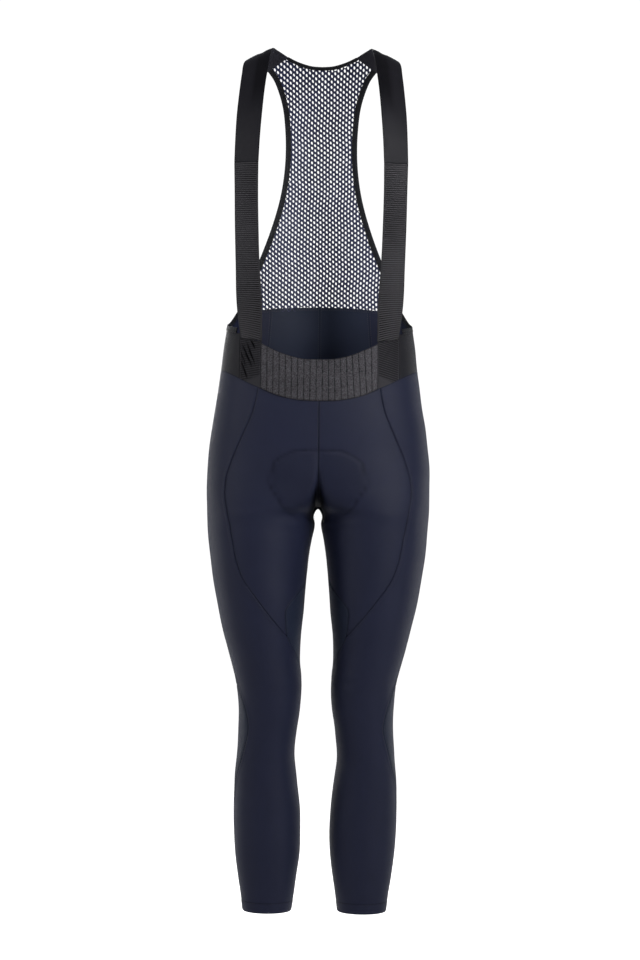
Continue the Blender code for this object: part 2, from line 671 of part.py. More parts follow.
def build_straps():
    """Ribbed lower strap in front and smooth upper strap over the shoulder."""
    foot = []
    for distance, drop in ((WAIST_SEAM - 0.0005, 0.458), (SIDE_SEAM - 0.0012, 0.4525)):
        angle = angle_across(distance, drop, -1)
        foot.append(on_body(angle, strap_foot(angle) - SEAM))
    foot_normal = body_normal(-43.0, strap_foot(-43.0))
    join = edges_as_points([STRAP_JOIN])[0]
    shift = (0, 0, SEAM / 2, 0, 0, SEAM / 2)
    lower_end = tuple(a - b for a, b in zip(join, shift))
    upper_start = tuple(a + b for a, b in zip(join, shift))
    lower_rows = [foot[0] + foot[1]] + edges_as_points(LOWER_STRAP) + [lower_end]
    grid, normal = strap_grid(lower_rows, 16, 4, (foot_normal, None))
    pair_of_walls("strap_lower", grid, grid - normal * ELASTIC, CHARCOAL)

    seam = []
    for distance, drop in SHOULDER_SEAM:
        clear = SEAM / 2 * 1.2
        seam.append(on_body(angle_across(distance, drop - clear, 1), drop - clear))
    (x0, drop0), (x1, drop1) = SHOULDER_SEAM
    seam_angle = angle_across((x0 + x1) / 2, (drop0 + drop1) / 2, 1)
    seam_normal = body_normal(seam_angle, (drop0 + drop1) / 2)
    upper_rows = [upper_start] + edges_as_points(UPPER_STRAP) + [seam[0] + seam[1]]
    grid, normal = strap_grid(upper_rows, 20, 4, (None, seam_normal))
    pair_of_walls("strap_upper", grid, grid - normal * ELASTIC, CHARCOAL)


def tape(name, first, second, paired=True):
    """Add a binding between two lines of (angle, drop) points."""
    outer, inner = [], []
    for near, far in zip(first, second):
        outer_row, inner_row = [], []
        for share in (0.0, 0.5, 1.0):
            angle, drop = near + (far - near) * share
            point = body_point(angle, drop)
            normal = body_normal(angle, drop)
            outer_row.append(point + normal * (TAPE - NET) / 2)
            inner_row.append(point - normal * (TAPE + NET) / 2)
        outer.append(outer_row)
        inner.append(inner_row)
    if paired:
        pair_of_walls(name, outer, inner, BLACK)
        return
    twin_outer = [[point * (-1, 1, 1) for point in row] for row in outer[:0:-1]]
    twin_inner = [[point * (-1, 1, 1) for point in row] for row in inner[:0:-1]]
    wall(name, twin_outer + outer, twin_inner + inner, BLACK)


def build_back():
    """Net back panel with its neck and armhole bindings."""
    tape("binding_armhole", armhole_stops(armhole_line), armhole_stops(armhole_inner))
    tape("binding_neck", evenly(below_shoulder(neck_line), NECK_ROWS),
         evenly(below_shoulder(neck_inner), NECK_ROWS), paired=False)
    neck_edge = evenly(below_shoulder(neck_panel), NECK_ROWS)

    line = armhole_stops(armhole_panel)
    feet = [net_foot(reach_across(angle, drop)) - SEAM / 2 for angle, drop in line]
    crossing = next(i for i in range(len(line)) if line[i, 1] > feet[i])
    before = feet[crossing - 1] - line[crossing - 1, 1]
    share = before / (before + line[crossing, 1] - feet[crossing])
    low = line[crossing - 1] + share * (line[crossing] - line[crossing - 1])
    line = np.vstack([line[:crossing], [low]])
    neck_across = np.array([reach_across(angle, drop) for angle, drop in neck_edge])
    widest = reach_across(*line[0])
    half_columns = [distance / widest for distance in neck_across[1:]]
    half_columns += [(half_columns[-1] + 1.0) / 2, 1.0]
    columns = half_columns[::-1] + [0.0] + [-share for share in half_columns]
    outer, inner = [], []
    for edge_angle, edge_drop in line:
        share = (edge_drop - line[0, 1]) / (low[1] - line[0, 1])
        half = reach_across(edge_angle, edge_drop)
        outer_row, inner_row = [], []
        for column in columns:
            distance = column * half
            high = max(np.interp(abs(distance), neck_across, neck_edge[:, 1]),
                       shoulder_line(abs(distance)) + SEAM / 2 * 1.2)
            foot = net_foot(abs(column) * reach_across(*low)) - SEAM / 2
            drop = high + share * (foot - high)
            if abs(column) == 1.0:
                drop = edge_drop
            point, normal = across_centre(distance, drop, 1)
            outer_row.append(point)
            inner_row.append(point - normal * NET)
        outer.append(outer_row)
        inner.append(inner_row)
    wall("net_back", outer, inner, BLACK)


def main():
    """Build the garment in an empty scene."""
    for thing in list(bpy.data.objects):
        bpy.data.objects.remove(thing, do_unlink=True)
    collection = bpy.data.collections.new(GARMENT)
    bpy.context.scene.collection.children.link(collection)
    build_legs()
    build_waistband()
    build_straps()
    build_back()


main()
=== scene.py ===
"""Bib knickers in stretch cloth: sewn panels, ribbed elastic, net back, bindings and stitches.

The wearer faces -Y, so the wearer's left side is +X. Heights are drops below the strap tops, and
angles run round a section in degrees: -90 at the front of the leg, 0 at its outer side, 90 at its
back. A chart is a pair of arrays: angle and drop.
"""

import math

import bpy
import numpy as np
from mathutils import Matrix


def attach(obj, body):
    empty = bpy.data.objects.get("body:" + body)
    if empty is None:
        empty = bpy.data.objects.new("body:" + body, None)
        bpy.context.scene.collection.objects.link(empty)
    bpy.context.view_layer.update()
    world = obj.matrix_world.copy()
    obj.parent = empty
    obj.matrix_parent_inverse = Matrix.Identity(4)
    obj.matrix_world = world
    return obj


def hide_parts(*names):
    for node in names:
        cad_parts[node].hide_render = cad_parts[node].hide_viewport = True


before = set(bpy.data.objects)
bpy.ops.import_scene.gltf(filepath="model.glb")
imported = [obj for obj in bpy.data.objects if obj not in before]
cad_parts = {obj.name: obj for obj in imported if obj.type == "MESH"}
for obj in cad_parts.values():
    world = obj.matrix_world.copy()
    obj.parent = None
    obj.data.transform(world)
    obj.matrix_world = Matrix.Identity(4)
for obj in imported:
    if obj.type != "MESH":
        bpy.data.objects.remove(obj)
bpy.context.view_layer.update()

# Thicknesses and other sizes in metres
CLOTH = 0.0012
ELASTIC = 0.0014
TAPE = 0.0018             # folded
NET = 0.0010
TAPE_WIDTH = 0.0085
NECK_TAPE_WIDTH = 0.0068
WAIST_SEAM = 0.0885       # from the centre line to the ribbed waist pieces
SIDE_SEAM = 0.1213        # from the centre line to the smooth waist pieces
WAIST_RIBS = 19
WAIST_CROSS_RIB = 0.0034  # distance between ribs under the straps
STRAP_RIB = 0.00318       # distance between ribs on the lower straps
STRAP_BOW = 0.0012        # rise of a strap's middle over its edges
PAD_RISE = 0.0010
SEAM_DEPTH = 0.00055
HEM_TURN = 0.0150         # height of the turned hem

# Drops
YOKE = 0.575              # a panel's rows follow its top edge down to here
CROTCH = 0.718
SEAT_SEAM = 0.758
FRONT_POINT = 0.904       # the front panels end here, above the inner knee
KNEE_SEAM = 0.985
HEM = 1.335

NET_COLUMN = 0.00496      # distance between columns of net holes
NET_ROW = 0.00775         # distance between holes in a column
HOLE = (0.00143, 0.00234)  # half width and half height of a net hole

FLOOR = -1.60
CAMERA_DISTANCE = 4.0
HALF_VIEW = 0.7425        # half the height that the picture shows
CAMERA_ROLL = 0.55        # degrees
SIDES = ((1, "left"), (-1, "right"))

# Sections: drop, middle of the leg across, half width, front, back, depth of the widest, fullness
SECTIONS = (
    (0.000, 0.0000, 0.2000, -0.020, 0.026, 0.000, 0.05),
    (0.010, 0.0000, 0.2000, -0.025, 0.051, 0.000, 0.05),
    (0.020, 0.0000, 0.2000, -0.030, 0.065, 0.000, 0.05),
    (0.035, 0.0000, 0.1990, -0.040, 0.078, 0.000, 0.05),
    (0.050, 0.0000, 0.1980, -0.050, 0.087, 0.000, 0.05),
    (0.100, 0.0000, 0.1930, -0.080, 0.106, 0.000, 0.05),
    (0.160, 0.0000, 0.1840, -0.100, 0.115, 0.000, 0.05),
    (0.250, 0.0000, 0.1680, -0.105, 0.111, 0.001, 0.05),
    (0.340, 0.0000, 0.1500, -0.102, 0.098, 0.002, 0.05),
    (0.405, 0.0000, 0.1405, -0.099, 0.090, 0.004, 0.05),
    (0.430, 0.0000, 0.1431, -0.099, 0.089, 0.004, 0.05),
    (0.467, 0.0000, 0.1483, -0.101, 0.090, 0.003, 0.05),
    (0.498, 0.0000, 0.1517, -0.103, 0.094, 0.002, 0.05),
    (0.529, 0.0023, 0.1536, -0.105, 0.102, 0.002, 0.05),
    (0.560, 0.0054, 0.1550, -0.106, 0.113, 0.002, 0.05),
    (0.591, 0.0108, 0.1548, -0.106, 0.122, 0.003, 0.05),
    (0.622, 0.0182, 0.1513, -0.105, 0.129, 0.004, 0.05),
    (0.653, 0.0310, 0.1410, -0.105, 0.132, 0.005, 0.05),
    (0.675, 0.0456, 0.1268, -0.104, 0.130, 0.005, 0.05),
    (0.693, 0.0611, 0.1112, -0.104, 0.125, 0.005, 0.04),
    (0.707, 0.0743, 0.0977, -0.103, 0.119, 0.005, 0.025),
    (0.718, 0.0859, 0.0859, -0.102, 0.114, 0.005, 0.00),
    (0.736, 0.0883, 0.0825, -0.100, 0.106, 0.004, 0.00),
    (0.761, 0.0893, 0.0796, -0.099, 0.098, 0.003, 0.00),
    (0.798, 0.0897, 0.0750, -0.097, 0.091, 0.001, 0.00),
    (0.835, 0.0883, 0.0705, -0.094, 0.085, -0.001, 0.00),
    (0.873, 0.0861, 0.0654, -0.089, 0.079, -0.002, 0.00),
    (0.910, 0.0835, 0.0591, -0.083, 0.073, -0.003, 0.00),
    (0.947, 0.0788, 0.0534, -0.076, 0.066, -0.004, 0.00),
    (0.984, 0.0730, 0.0504, -0.069, 0.060, -0.004, 0.00),
    (1.021, 0.0722, 0.0477, -0.062, 0.057, -0.003, 0.00),
    (1.058, 0.0749, 0.0451, -0.054, 0.060, 0.002, 0.00),
    (1.095, 0.0775, 0.0449, -0.048, 0.068, 0.009, 0.00),
    (1.132, 0.0772, 0.0484, -0.044, 0.076, 0.014, 0.00),
    (1.170, 0.0754, 0.0510, -0.041, 0.080, 0.017, 0.00),
    (1.207, 0.0743, 0.0515, -0.039, 0.080, 0.018, 0.00),
    (1.244, 0.0735, 0.0500, -0.037, 0.076, 0.017, 0.00),
    (1.281, 0.0735, 0.0453, -0.034, 0.067, 0.014, 0.00),
    (1.318, 0.0733, 0.0397, -0.031, 0.057, 0.011, 0.00),
    (1.335, 0.0734, 0.0375, -0.030, 0.052, 0.010, 0.00),
)

# Seams down the garment: drop, angle
SIDE_FRONT_SEAM = (
    (0.400, -55.6), (0.500, -55.6), (0.530, -55.6), (0.565, -54.5), (0.602, -50.5),
    (0.638, -46.0), (0.671, -44.0), (0.699, -47.0), (0.722, -54.0), (0.754, -59.0),
    (0.799, -65.5), (0.819, -71.0), (0.848, -86.0), (0.877, -104.0), (0.911, -133.0),
)
INNER_LEG_SEAM = (
    (0.700, -180.0), (0.760, -180.0), (0.800, -178.0), (0.830, -162.0), (0.848, -140.0),
    (0.864, -127.0), (0.885, -127.0), (0.911, -133.2), (0.934, -150.0), (0.952, -171.0),
    (0.975, -190.0), (1.020, -200.0), (1.080, -195.0), (1.200, -188.0), (1.335, -185.0),
)
SIDE_BACK_SEAM = (
    (0.380, 58.0), (0.480, 58.0), (0.520, 58.0), (0.560, 56.0), (0.620, 51.0), (0.700, 43.0),
    (0.800, 33.0), (0.880, 20.0), (0.935, 0.0), (0.985, -22.0), (1.024, -43.0), (1.045, -50.0),
    (1.090, -39.0), (1.140, -18.0), (1.200, -2.0), (1.270, 4.0), (1.335, 6.0),
)

# Lines round the garment: angle, drop
WAIST_TOP = ((-90.0, 0.4860), (-81.0, 0.4853), (-72.0, 0.4800), (-62.0, 0.4700), (-53.0, 0.4590))
WAIST_BOTTOM = (
    (-90.0, 0.5491), (-86.0, 0.5488), (-82.0, 0.5482), (-78.0, 0.5470), (-74.0, 0.5450),
    (-70.0, 0.5425), (-66.0, 0.5392), (-62.0, 0.5352), (-58.0, 0.5308), (-55.6, 0.5280),
    (-48.4, 0.5210), (-41.2, 0.5140), (-33.6, 0.5082), (-26.5, 0.5045), (-15.6, 0.5010),
    (-4.8, 0.4990), (6.0, 0.4985), (12.0, 0.4985),
)
STRAP_FOOT = ((-53.0, 0.4580), (-43.0, 0.4550), (-32.0, 0.4525))
WAIST_BACK_SEAM = ((6.0, 0.4985), (14.0, 0.4330))

# Lines across the back: distance from the centre line, drop
NET_FOOT = ((0.0000, 0.3954), (0.0500, 0.3968), (0.0924, 0.4010), (0.1300, 0.4057))
NECK = ((0.0000, 0.0190), (0.0160, 0.0180), (0.0340, 0.0138), (0.0532, 0.0068), (0.0750, -0.0040))
ARMHOLE_BACK = (
    (0.0960, 0.0130), (0.0857, 0.0261), (0.0762, 0.0383), (0.0685, 0.0555), (0.0615, 0.0800),
    (0.0580, 0.1090), (0.0567, 0.1461), (0.0590, 0.1843), (0.0652, 0.2229), (0.0755, 0.2616),
    (0.0886, 0.3007), (0.1040, 0.3400), (0.1180, 0.3760), (0.1290, 0.4053),
)
ARMHOLE_SIDE = ((14.0, 0.4240), (2.0, 0.4285), (-10.0, 0.4312), (-21.0, 0.4337), (-32.6, 0.4365))
SHOULDER_SEAM = ((0.0532, 0.0068), (0.0857, 0.0261))

# Strap edges: inner x, y, drop and outer x, y, drop
LOWER_STRAP = (
    (0.0883, -0.0880, 0.4060, 0.1268, -0.0640, 0.4040),
    (0.0925, -0.0960, 0.3400, 0.1290, -0.0720, 0.3390),
    (0.0945, -0.1005, 0.2800, 0.1305, -0.0790, 0.2790),
    (0.0954, -0.1020, 0.2300, 0.1312, -0.0825, 0.2290),
)
STRAP_JOIN = (0.0953, -0.1005, 0.1895, 0.1320, -0.0830, 0.1885)
UPPER_STRAP = (
    (0.0936, -0.0985, 0.1534, 0.1310, -0.0810, 0.1540),
    (0.0907, -0.0900, 0.1120, 0.1294, -0.0720, 0.1160),
    (0.0873, -0.0715, 0.0720, 0.1264, -0.0550, 0.0780),
    (0.0831, -0.0480, 0.0370, 0.1236, -0.0350, 0.0480),
    (0.0794, -0.0230, 0.0110, 0.1210, -0.0160, 0.0265),
    (0.0764, 0.0000, 0.0000, 0.1166, 0.0020, 0.0190),
    (0.0700, 0.0220, 0.0000, 0.1070, 0.0240, 0.0170),
)

# Outline of the seat pad inside: drop, half width
PAD_OUTLINE = (
    (0.6225, 0.0000), (0.6240, 0.0300), (0.6265, 0.0410), (0.6390, 0.0633), (0.6530, 0.0698),
    (0.6745, 0.0735), (0.6960, 0.0608), (0.7126, 0.0492), (0.7280, 0.0306), (0.7450, 0.0000),
)

# Creases on the body: side (1 left, -1 right, 0 both), three points of angle and drop, width, depth
CREASES = (
    (0, -160, 0.700, -128, 0.684, -98, 0.655, 0.0050, 0.0007),
    (1, -166, 0.722, -138, 0.712, -112, 0.690, 0.0045, 0.0006),
    (-1, -168, 0.728, -140, 0.724, -108, 0.702, 0.0050, 0.0007),
    (-1, -160, 0.748, -136, 0.752, -116, 0.742, 0.0050, 0.0005),
    (1, -164, 0.742, -140, 0.744, -122, 0.736, 0.0040, 0.0005),
    (0, 172, 0.728, 130, 0.752, 78, 0.737, 0.0090, 0.0048),
    (1, 166, 0.748, 140, 0.768, 96, 0.764, 0.0070, 0.0029),
    (-1, 168, 0.744, 146, 0.762, 108, 0.760, 0.0070, 0.0032),
    (-1, 160, 0.772, 130, 0.784, 92, 0.778, 0.0060, 0.0019),
    (1, 150, 0.782, 124, 0.792, 100, 0.788, 0.0055, 0.0014),
    (1, 36, 0.998, 80, 1.008, 128, 0.996, 0.0065, 0.0038),
    (1, 58, 1.016, 100, 1.028, 142, 1.019, 0.0060, 0.0035),
    (1, 32, 1.036, 70, 1.043, 112, 1.034, 0.0055, 0.0027),
    (1, 78, 1.052, 110, 1.057, 138, 1.050, 0.0050, 0.0019),
    (1, 60, 0.978, 96, 0.982, 126, 0.974, 0.0050, 0.0016),
    (-1, 42, 1.002, 85, 1.010, 122, 1.001, 0.0060, 0.0034),
    (-1, 54, 1.022, 95, 1.034, 144, 1.024, 0.0065, 0.0038),
    (-1, 46, 1.044, 80, 1.050, 120, 1.043, 0.0050, 0.0024),
    (-1, 70, 0.982, 104, 0.987, 134, 0.980, 0.0050, 0.0018),
    (1, -150, 0.975, -118, 0.982, -88, 0.976, 0.0060, 0.0005),
    (-1, -146, 0.992, -116, 1.000, -82, 0.992, 0.0065, 0.0005),
    (0, 62, 0.452, 74, 0.457, 86, 0.452, 0.0045, 0.0006),
    (1, 55, 0.474, 70, 0.481, 84, 0.476, 0.0050, 0.0007),
    (-1, 50, 0.466, 68, 0.473, 80, 0.469, 0.0050, 0.0006),
    (1, 18, 0.470, 34, 0.478, 50, 0.474, 0.0055, 0.0006),
    (-1, 14, 0.520, 30, 0.532, 46, 0.530, 0.0060, 0.0005),
    (0, -30, 1.300, 40, 1.306, 110, 1.300, 0.0060, 0.0003),
)
# Creases that run down the ribbed waist pieces, most of them under the wearer's right strap
WAIST_CREASES = (
    (-1, -40.3, 0.4605, -45.3, 0.4783, -50.7, 0.4990, 0.0016, 0.0022),
    (-1, -44.0, 0.4585, -48.0, 0.4747, -52.4, 0.4970, 0.0016, 0.0022),
    (-1, -47.2, 0.4562, -49.1, 0.4625, -51.4, 0.4710, 0.0019, 0.0020),
    (-1, -41.0, 0.4860, -44.3, 0.5022, -47.6, 0.5145, 0.0016, 0.0020),
    (-1, -39.6, 0.4700, -42.4, 0.4830, -45.8, 0.4960, 0.0014, 0.0014),
    (1, -46.5, 0.4640, -49.0, 0.4760, -53.0, 0.4900, 0.0028, 0.0005),
)

rng = np.random.default_rng(7)


def smooth_curve(table):
    """Return a function that reads the later columns of a table at values of its first column."""
    table = np.asarray(table, float)
    place, value = table[:, 0], table[:, 1:]
    step = np.diff(place)
    slope = np.diff(value, axis=0) / step[:, None]
    before, after = step[:-1, None], step[1:, None]
    middle = (slope[:-1] * after + slope[1:] * before) / (before + after)
    tangent = np.vstack([slope[:1], middle, slope[-1:]])

    def read(at):
        at = np.clip(np.asarray(at, float), place[0], place[-1])
        i = np.clip(np.searchsorted(place, at, side="right") - 1, 0, len(step) - 1)
        t = ((at - place[i]) / step[i])[..., None]
        rise = 3 * t ** 2 - 2 * t ** 3
        bend = (t ** 3 - 2 * t ** 2 + t) * tangent[i] + (t ** 3 - t ** 2) * tangent[i + 1]
        result = value[i] * (1 - rise) + value[i + 1] * rise + step[i][..., None] * bend
        return result[..., 0] if value.shape[1] == 1 else result

    return read


section = smooth_curve(SECTIONS)
side_front_seam = smooth_curve(SIDE_FRONT_SEAM)
inner_leg_seam = smooth_curve(INNER_LEG_SEAM)
side_back_seam = smooth_curve(SIDE_BACK_SEAM)
waist_top = smooth_curve(WAIST_TOP)
waist_bottom = smooth_curve(WAIST_BOTTOM)
strap_foot = smooth_curve(STRAP_FOOT)
net_foot = smooth_curve(NET_FOOT)


def unit(vectors):
    """Scale vectors to length one."""
    return vectors / np.maximum(np.linalg.norm(vectors, axis=-1, keepdims=True), 1e-12)


def bell(distance, width):
    """Fall from 1 at no distance towards 0 at about twice the width."""
    return np.exp(-(distance / width) ** 2)


def smooth_step(low, high, value):
    """Rise smoothly from 0 at low to 1 at high."""
    t = np.clip((value - low) / (high - low), 0.0, 1.0)
    return t * t * (3 - 2 * t)


def body_point(angle, drop):
    """Points of the cloth's outer face on the wearer's left side."""
    middle, half, front, back, depth, fullness = np.moveaxis(section(drop), -1, 0)
    turn = np.radians(angle)
    bulge = 1 + fullness * np.sin(2 * turn) ** 2
    span = np.where(np.sin(turn) > 0, back - depth, depth - front)
    x = middle + half * np.cos(turn) * bulge
    return np.stack([x, depth + span * np.sin(turn) * bulge, -np.asarray(drop) + 0 * x], axis=-1)


def body_normal(angle, drop):
    """Outward directions of the cloth."""
    round_it = body_point(angle + 0.05, drop) - body_point(angle - 0.05, drop)
    upward = body_point(angle, drop - 0.0002) - body_point(angle, drop + 0.0002)
    return unit(np.cross(round_it, upward))


def angle_across(distance, drop, way):
    """Angles in front (way -1) or behind (way 1) at distances from the centre line."""
    distance, drop = np.broadcast_arrays(np.asarray(distance, float), np.asarray(drop, float))
    low = np.zeros_like(drop)
    high = np.where(drop < CROTCH - 0.05, 120.0, 180.0)
    for _ in range(34):
        middle = (low + high) / 2
        beyond = body_point(middle, drop)[..., 0] > distance
        low = np.where(beyond, middle, low)
        high = np.where(beyond, high, middle)
    return way * low


def half_turn(drop):
    """Angle from the outer side to the centre seam."""
    return np.minimum(179.99, angle_across(1e-5, drop, 1))


def centre_front(drop):
    """Front edge of the front panel."""
    return np.where(drop <= CROTCH, -half_turn(np.minimum(drop, CROTCH)), inner_leg_seam(drop))


def centre_back(drop):
    """Back edge of the back panel."""
    turn = half_turn(np.minimum(drop, CROTCH))
    return np.where(drop <= CROTCH, turn, inner_leg_seam(drop) + 360.0)


def side_front(drop):
    """Front edge of the side panel."""
    return np.where(drop <= FRONT_POINT, side_front_seam(drop), inner_leg_seam(drop))


def across_centre(distance, drop, way):
    """Points and outward directions at signed distances from the centre line."""
    angle = angle_across(np.maximum(np.abs(distance), 1e-5), drop, way)
    side = np.where(distance < 0, -1.0, 1.0)[..., None] * (1, 0, 0) + (0, 1, 1)
    point = body_point(angle, drop) * side
    normal = body_normal(angle, drop) * side
    point[..., 0] = distance
    return point, unit(normal)


def resample(chain, count, straight=False):
    """Take points at even distances along a line of (angle, drop), through a smooth curve."""
    chain = np.asarray(chain, float)
    points = body_point(*chain.T)
    run = np.concatenate([[0.0], np.cumsum(np.linalg.norm(np.diff(points, axis=0), axis=1))])
    places = np.linspace(0.0, run[-1], count)
    if straight:
        return np.column_stack([np.interp(places, run, column) for column in chain.T])
    return smooth_curve(np.column_stack([run, chain]))(places)


def inset(chain, distance):
    """Move a line of (angle, drop) sideways within the cloth."""
    angle, drop = chain.T
    along = np.gradient(body_point(angle, drop), axis=0)
    shift = unit(np.cross(body_normal(angle, drop), along)) * distance
    round_it = (body_point(angle + 0.1, drop) - body_point(angle - 0.1, drop)) / 0.2
    down = (body_point(angle, drop + 0.0005) - body_point(angle, drop - 0.0005)) / 0.001
    aa, ab, bb = (round_it ** 2).sum(1), (round_it * down).sum(1), (down ** 2).sum(1)
    av, bv = (round_it * shift).sum(1), (down * shift).sum(1)
    span = aa * bb - ab * ab
    return chain + np.stack([(av * bb - bv * ab) / span, (bv * aa - av * ab) / span], axis=1)


def shoulder_line(distance):
    """Drop of the seam between the net and a strap."""
    (x0, drop0), (x1, drop1) = SHOULDER_SEAM
    return drop0 + (distance - x0) * (drop1 - drop0) / (x1 - x0)


def below_shoulder(chain):
    """Cut a line of (angle, drop) where it passes the seam under a strap."""
    height = chain[:, 1] - shoulder_line(body_point(*chain.T)[:, 0])
    return chain[height > -0.0002]


def on_back(rows):
    """Turn rows of distance and drop on the back into rows of angle and drop."""
    rows = np.asarray(rows, float)
    return np.column_stack([angle_across(np.maximum(rows[:, 0], 1e-5), rows[:, 1], 1), rows[:, 1]])


armhole_line = resample(np.vstack([on_back(ARMHOLE_BACK), ARMHOLE_SIDE]), 420)
neck_line = resample(on_back(NECK), 120)
armhole_inner = inset(armhole_line, TAPE_WIDTH)
neck_inner = inset(neck_line, NECK_TAPE_WIDTH)


def armhole_edge(angle):
    """Drop of the armhole binding's lower edge at an angle of the side."""
    return np.interp(angle, armhole_inner[::-1, 0], armhole_inner[::-1, 1])


def net_foot_at(angle):
    """Drop of the net's foot at an angle."""
    return net_foot(body_point(angle, 0.40 + 0 * angle)[..., 0])


def side_panel_top(angle):
    """Upper edge of the side panel: waistband, its back seam, the binding, then the net."""
    (low_angle, low_drop), (high_angle, high_drop) = WAIST_BACK_SEAM
    share = (angle - low_angle) / (high_angle - low_angle)
    seam = np.where(share < 1, low_drop + share * (high_drop - low_drop), 0.0)
    behind = np.maximum(np.maximum(armhole_edge(angle), net_foot_at(angle)), seam)
    return np.where(angle <= low_angle, waist_bottom(angle), behind)


def waist_back_seam(drop):
    """Angle of the seam behind the smooth side of the waistband."""
    (low_angle, low_drop), (high_angle, high_drop) = WAIST_BACK_SEAM
    return low_angle + (drop - low_drop) / (high_drop - low_drop) * (high_angle - low_angle)


# Mesh helpers

def add_piece(name, points, faces, material, uv, shade):
    """Make an object from arrays of points and faces, with coordinates in metres and shading."""
    mesh = bpy.data.meshes.new(name)
    mesh.from_pydata(points.tolist(), [], faces if isinstance(faces, list) else faces.tolist())
    mesh.materials.append(material)
    corner = np.empty(len(mesh.loops), np.int32)
    mesh.loops.foreach_get("vertex_index", corner)
    places = np.asarray(uv, np.float32)[corner].ravel()
    mesh.uv_layers.new(name="metres").data.foreach_set("uv", places)
    layer = mesh.attributes.new("shade", "FLOAT", "POINT")
    layer.data.foreach_set("value", np.asarray(shade, np.float32).ravel())
    mesh.shade_smooth()
    mesh.set_sharp_from_angle(angle=math.radians(55))
    piece = bpy.data.objects.new(name, mesh)
    bpy.context.scene.collection.objects.link(piece)
    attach(piece, "root")
    return piece


def grid_faces(rows, columns, start=0, flip=False):
    """Quads of a grid of points."""
    a = (np.arange(rows - 1)[:, None] * columns + np.arange(columns - 1)[None]).ravel() + start
    quads = np.stack([a, a + columns, a + columns + 1, a + 1], axis=1)
    return quads[:, ::-1] if flip else quads


def shell(name, outer, inner, material, uv, shade, mirrored=False, inside=0.0):
    """A closed thin shell between two grids of points; inside below 0 lightens its inner face."""
    rows, columns, _ = outer.shape
    count = rows * columns
    points = np.vstack([outer.reshape(-1, 3), inner.reshape(-1, 3)])
    if mirrored:
        points = points * (-1, 1, 1)
    first, last = np.arange(rows) * columns, (rows - 1) * columns + np.arange(1, columns)
    rim = np.concatenate([first, last, first[-2::-1] + columns - 1, np.arange(columns - 2, 0, -1)])
    following = np.roll(rim, -1)
    walls = np.stack([following, rim, rim + count, following + count], axis=1)
    faces = np.vstack([grid_faces(rows, columns), grid_faces(rows, columns, count, True), walls])
    if mirrored:
        faces = faces[:, ::-1]
    uv = np.asarray(uv).reshape(-1, 2)
    shade = np.asarray(shade).ravel()
    shade = np.concatenate([shade, inside + 0.4 * shade])
    return add_piece(name, points, faces, material, np.vstack([uv, uv]), shade)


def run_along(points, axis):
    """Distance along the rows or columns of a grid from its first point."""
    steps = np.linalg.norm(np.diff(points, axis=axis), axis=-1)
    start = np.zeros_like(np.take(steps, [0], axis=axis))
    return np.concatenate([start, np.cumsum(steps, axis=axis)], axis=axis)


def crease_height(points, creases, side):
    """Depth of soft creases at points of the wearer's left side's form."""
    height = np.zeros(points.shape[:-1])
    for which, a0, d0, a1, d1, a2, d2, width, depth in creases:
        if which not in (0, side):
            continue
        t = np.linspace(0.0, 1.0, 28)[:, None]
        line = (1 - t) ** 2 * (a0, d0) + 2 * t * (1 - t) * (a1, d1) + t ** 2 * (a2, d2)
        path = body_point(*line.T)
        reach = 4 * width
        near = ((points > path.min(0) - reach) & (points < path.max(0) + reach)).all(-1)
        if not near.any():
            continue
        gap = np.linalg.norm(points[near][:, None] - path[None], axis=2)
        best = gap.argmin(1)
        d = gap[np.arange(len(best)), best] / width
        taper = np.sin(np.pi * np.clip(best / 27.0, 0.02, 0.98)) ** 0.7
        height[near] += depth * taper * (0.45 * bell(d - 1.9, 0.9) - bell(d, 1.0))
    return height


def undulation(points, side):
    """Slow unevenness of stretched cloth."""
    x, y, z = points[..., 0] + 0.013 * side, points[..., 1], points[..., 2]
    wave = np.sin(61 * z + 23 * y) * np.cos(47 * x - 29 * z + side)
    return 0.00022 * (wave + 0.6 * np.sin(97 * z - 71 * x + 2 * side))


def pad_height(points):
    """Rise of the cloth over the seat pad, and a fine groove along its edge whose mask also carries
    painted shade.
    """
    rows = np.column_stack([np.arange(len(PAD_OUTLINE)), PAD_OUTLINE])
    drops, widths = smooth_curve(rows)(np.linspace(0, len(PAD_OUTLINE) - 1, 90)).T
    drop, across = -points[..., 2], points[..., 0]
    gap = np.hypot(drop[..., None] - drops, across[..., None] - widths).min(-1)
    inside = np.where(np.interp(drop, drops, widths, left=-0.02, right=-0.02) > across, gap, -gap)
    front = points[..., 1] < 0
    line = bell(inside, 0.0024)
    rise = PAD_RISE * smooth_step(0.0, 0.0060, inside) * smooth_step(0.0, 0.010, across)
    rise = rise - 0.00030 * line * smooth_step(0.745, 0.700, drop)
    return np.where(front, rise, 0.0), np.where(front, line, 0.0)


def cleft_depth(points):
    """Depth of the cloth drawn in between the legs above the crotch."""
    drop, across = -points[..., 2], points[..., 0]
    reach = 0.0035 + 0.0070 * smooth_step(0.655, 0.712, drop)
    return 0.0095 * smooth_step(0.640, 0.712, drop) * np.exp(-(np.abs(across) / reach) ** 1.6)


def uneven(count, crowd=0.78):
    """Fractions from 0 to 1, closer together near both ends."""
    t = np.linspace(0.0, 1.0, count)
    return t - crowd * np.sin(2 * np.pi * t) / (2 * np.pi)


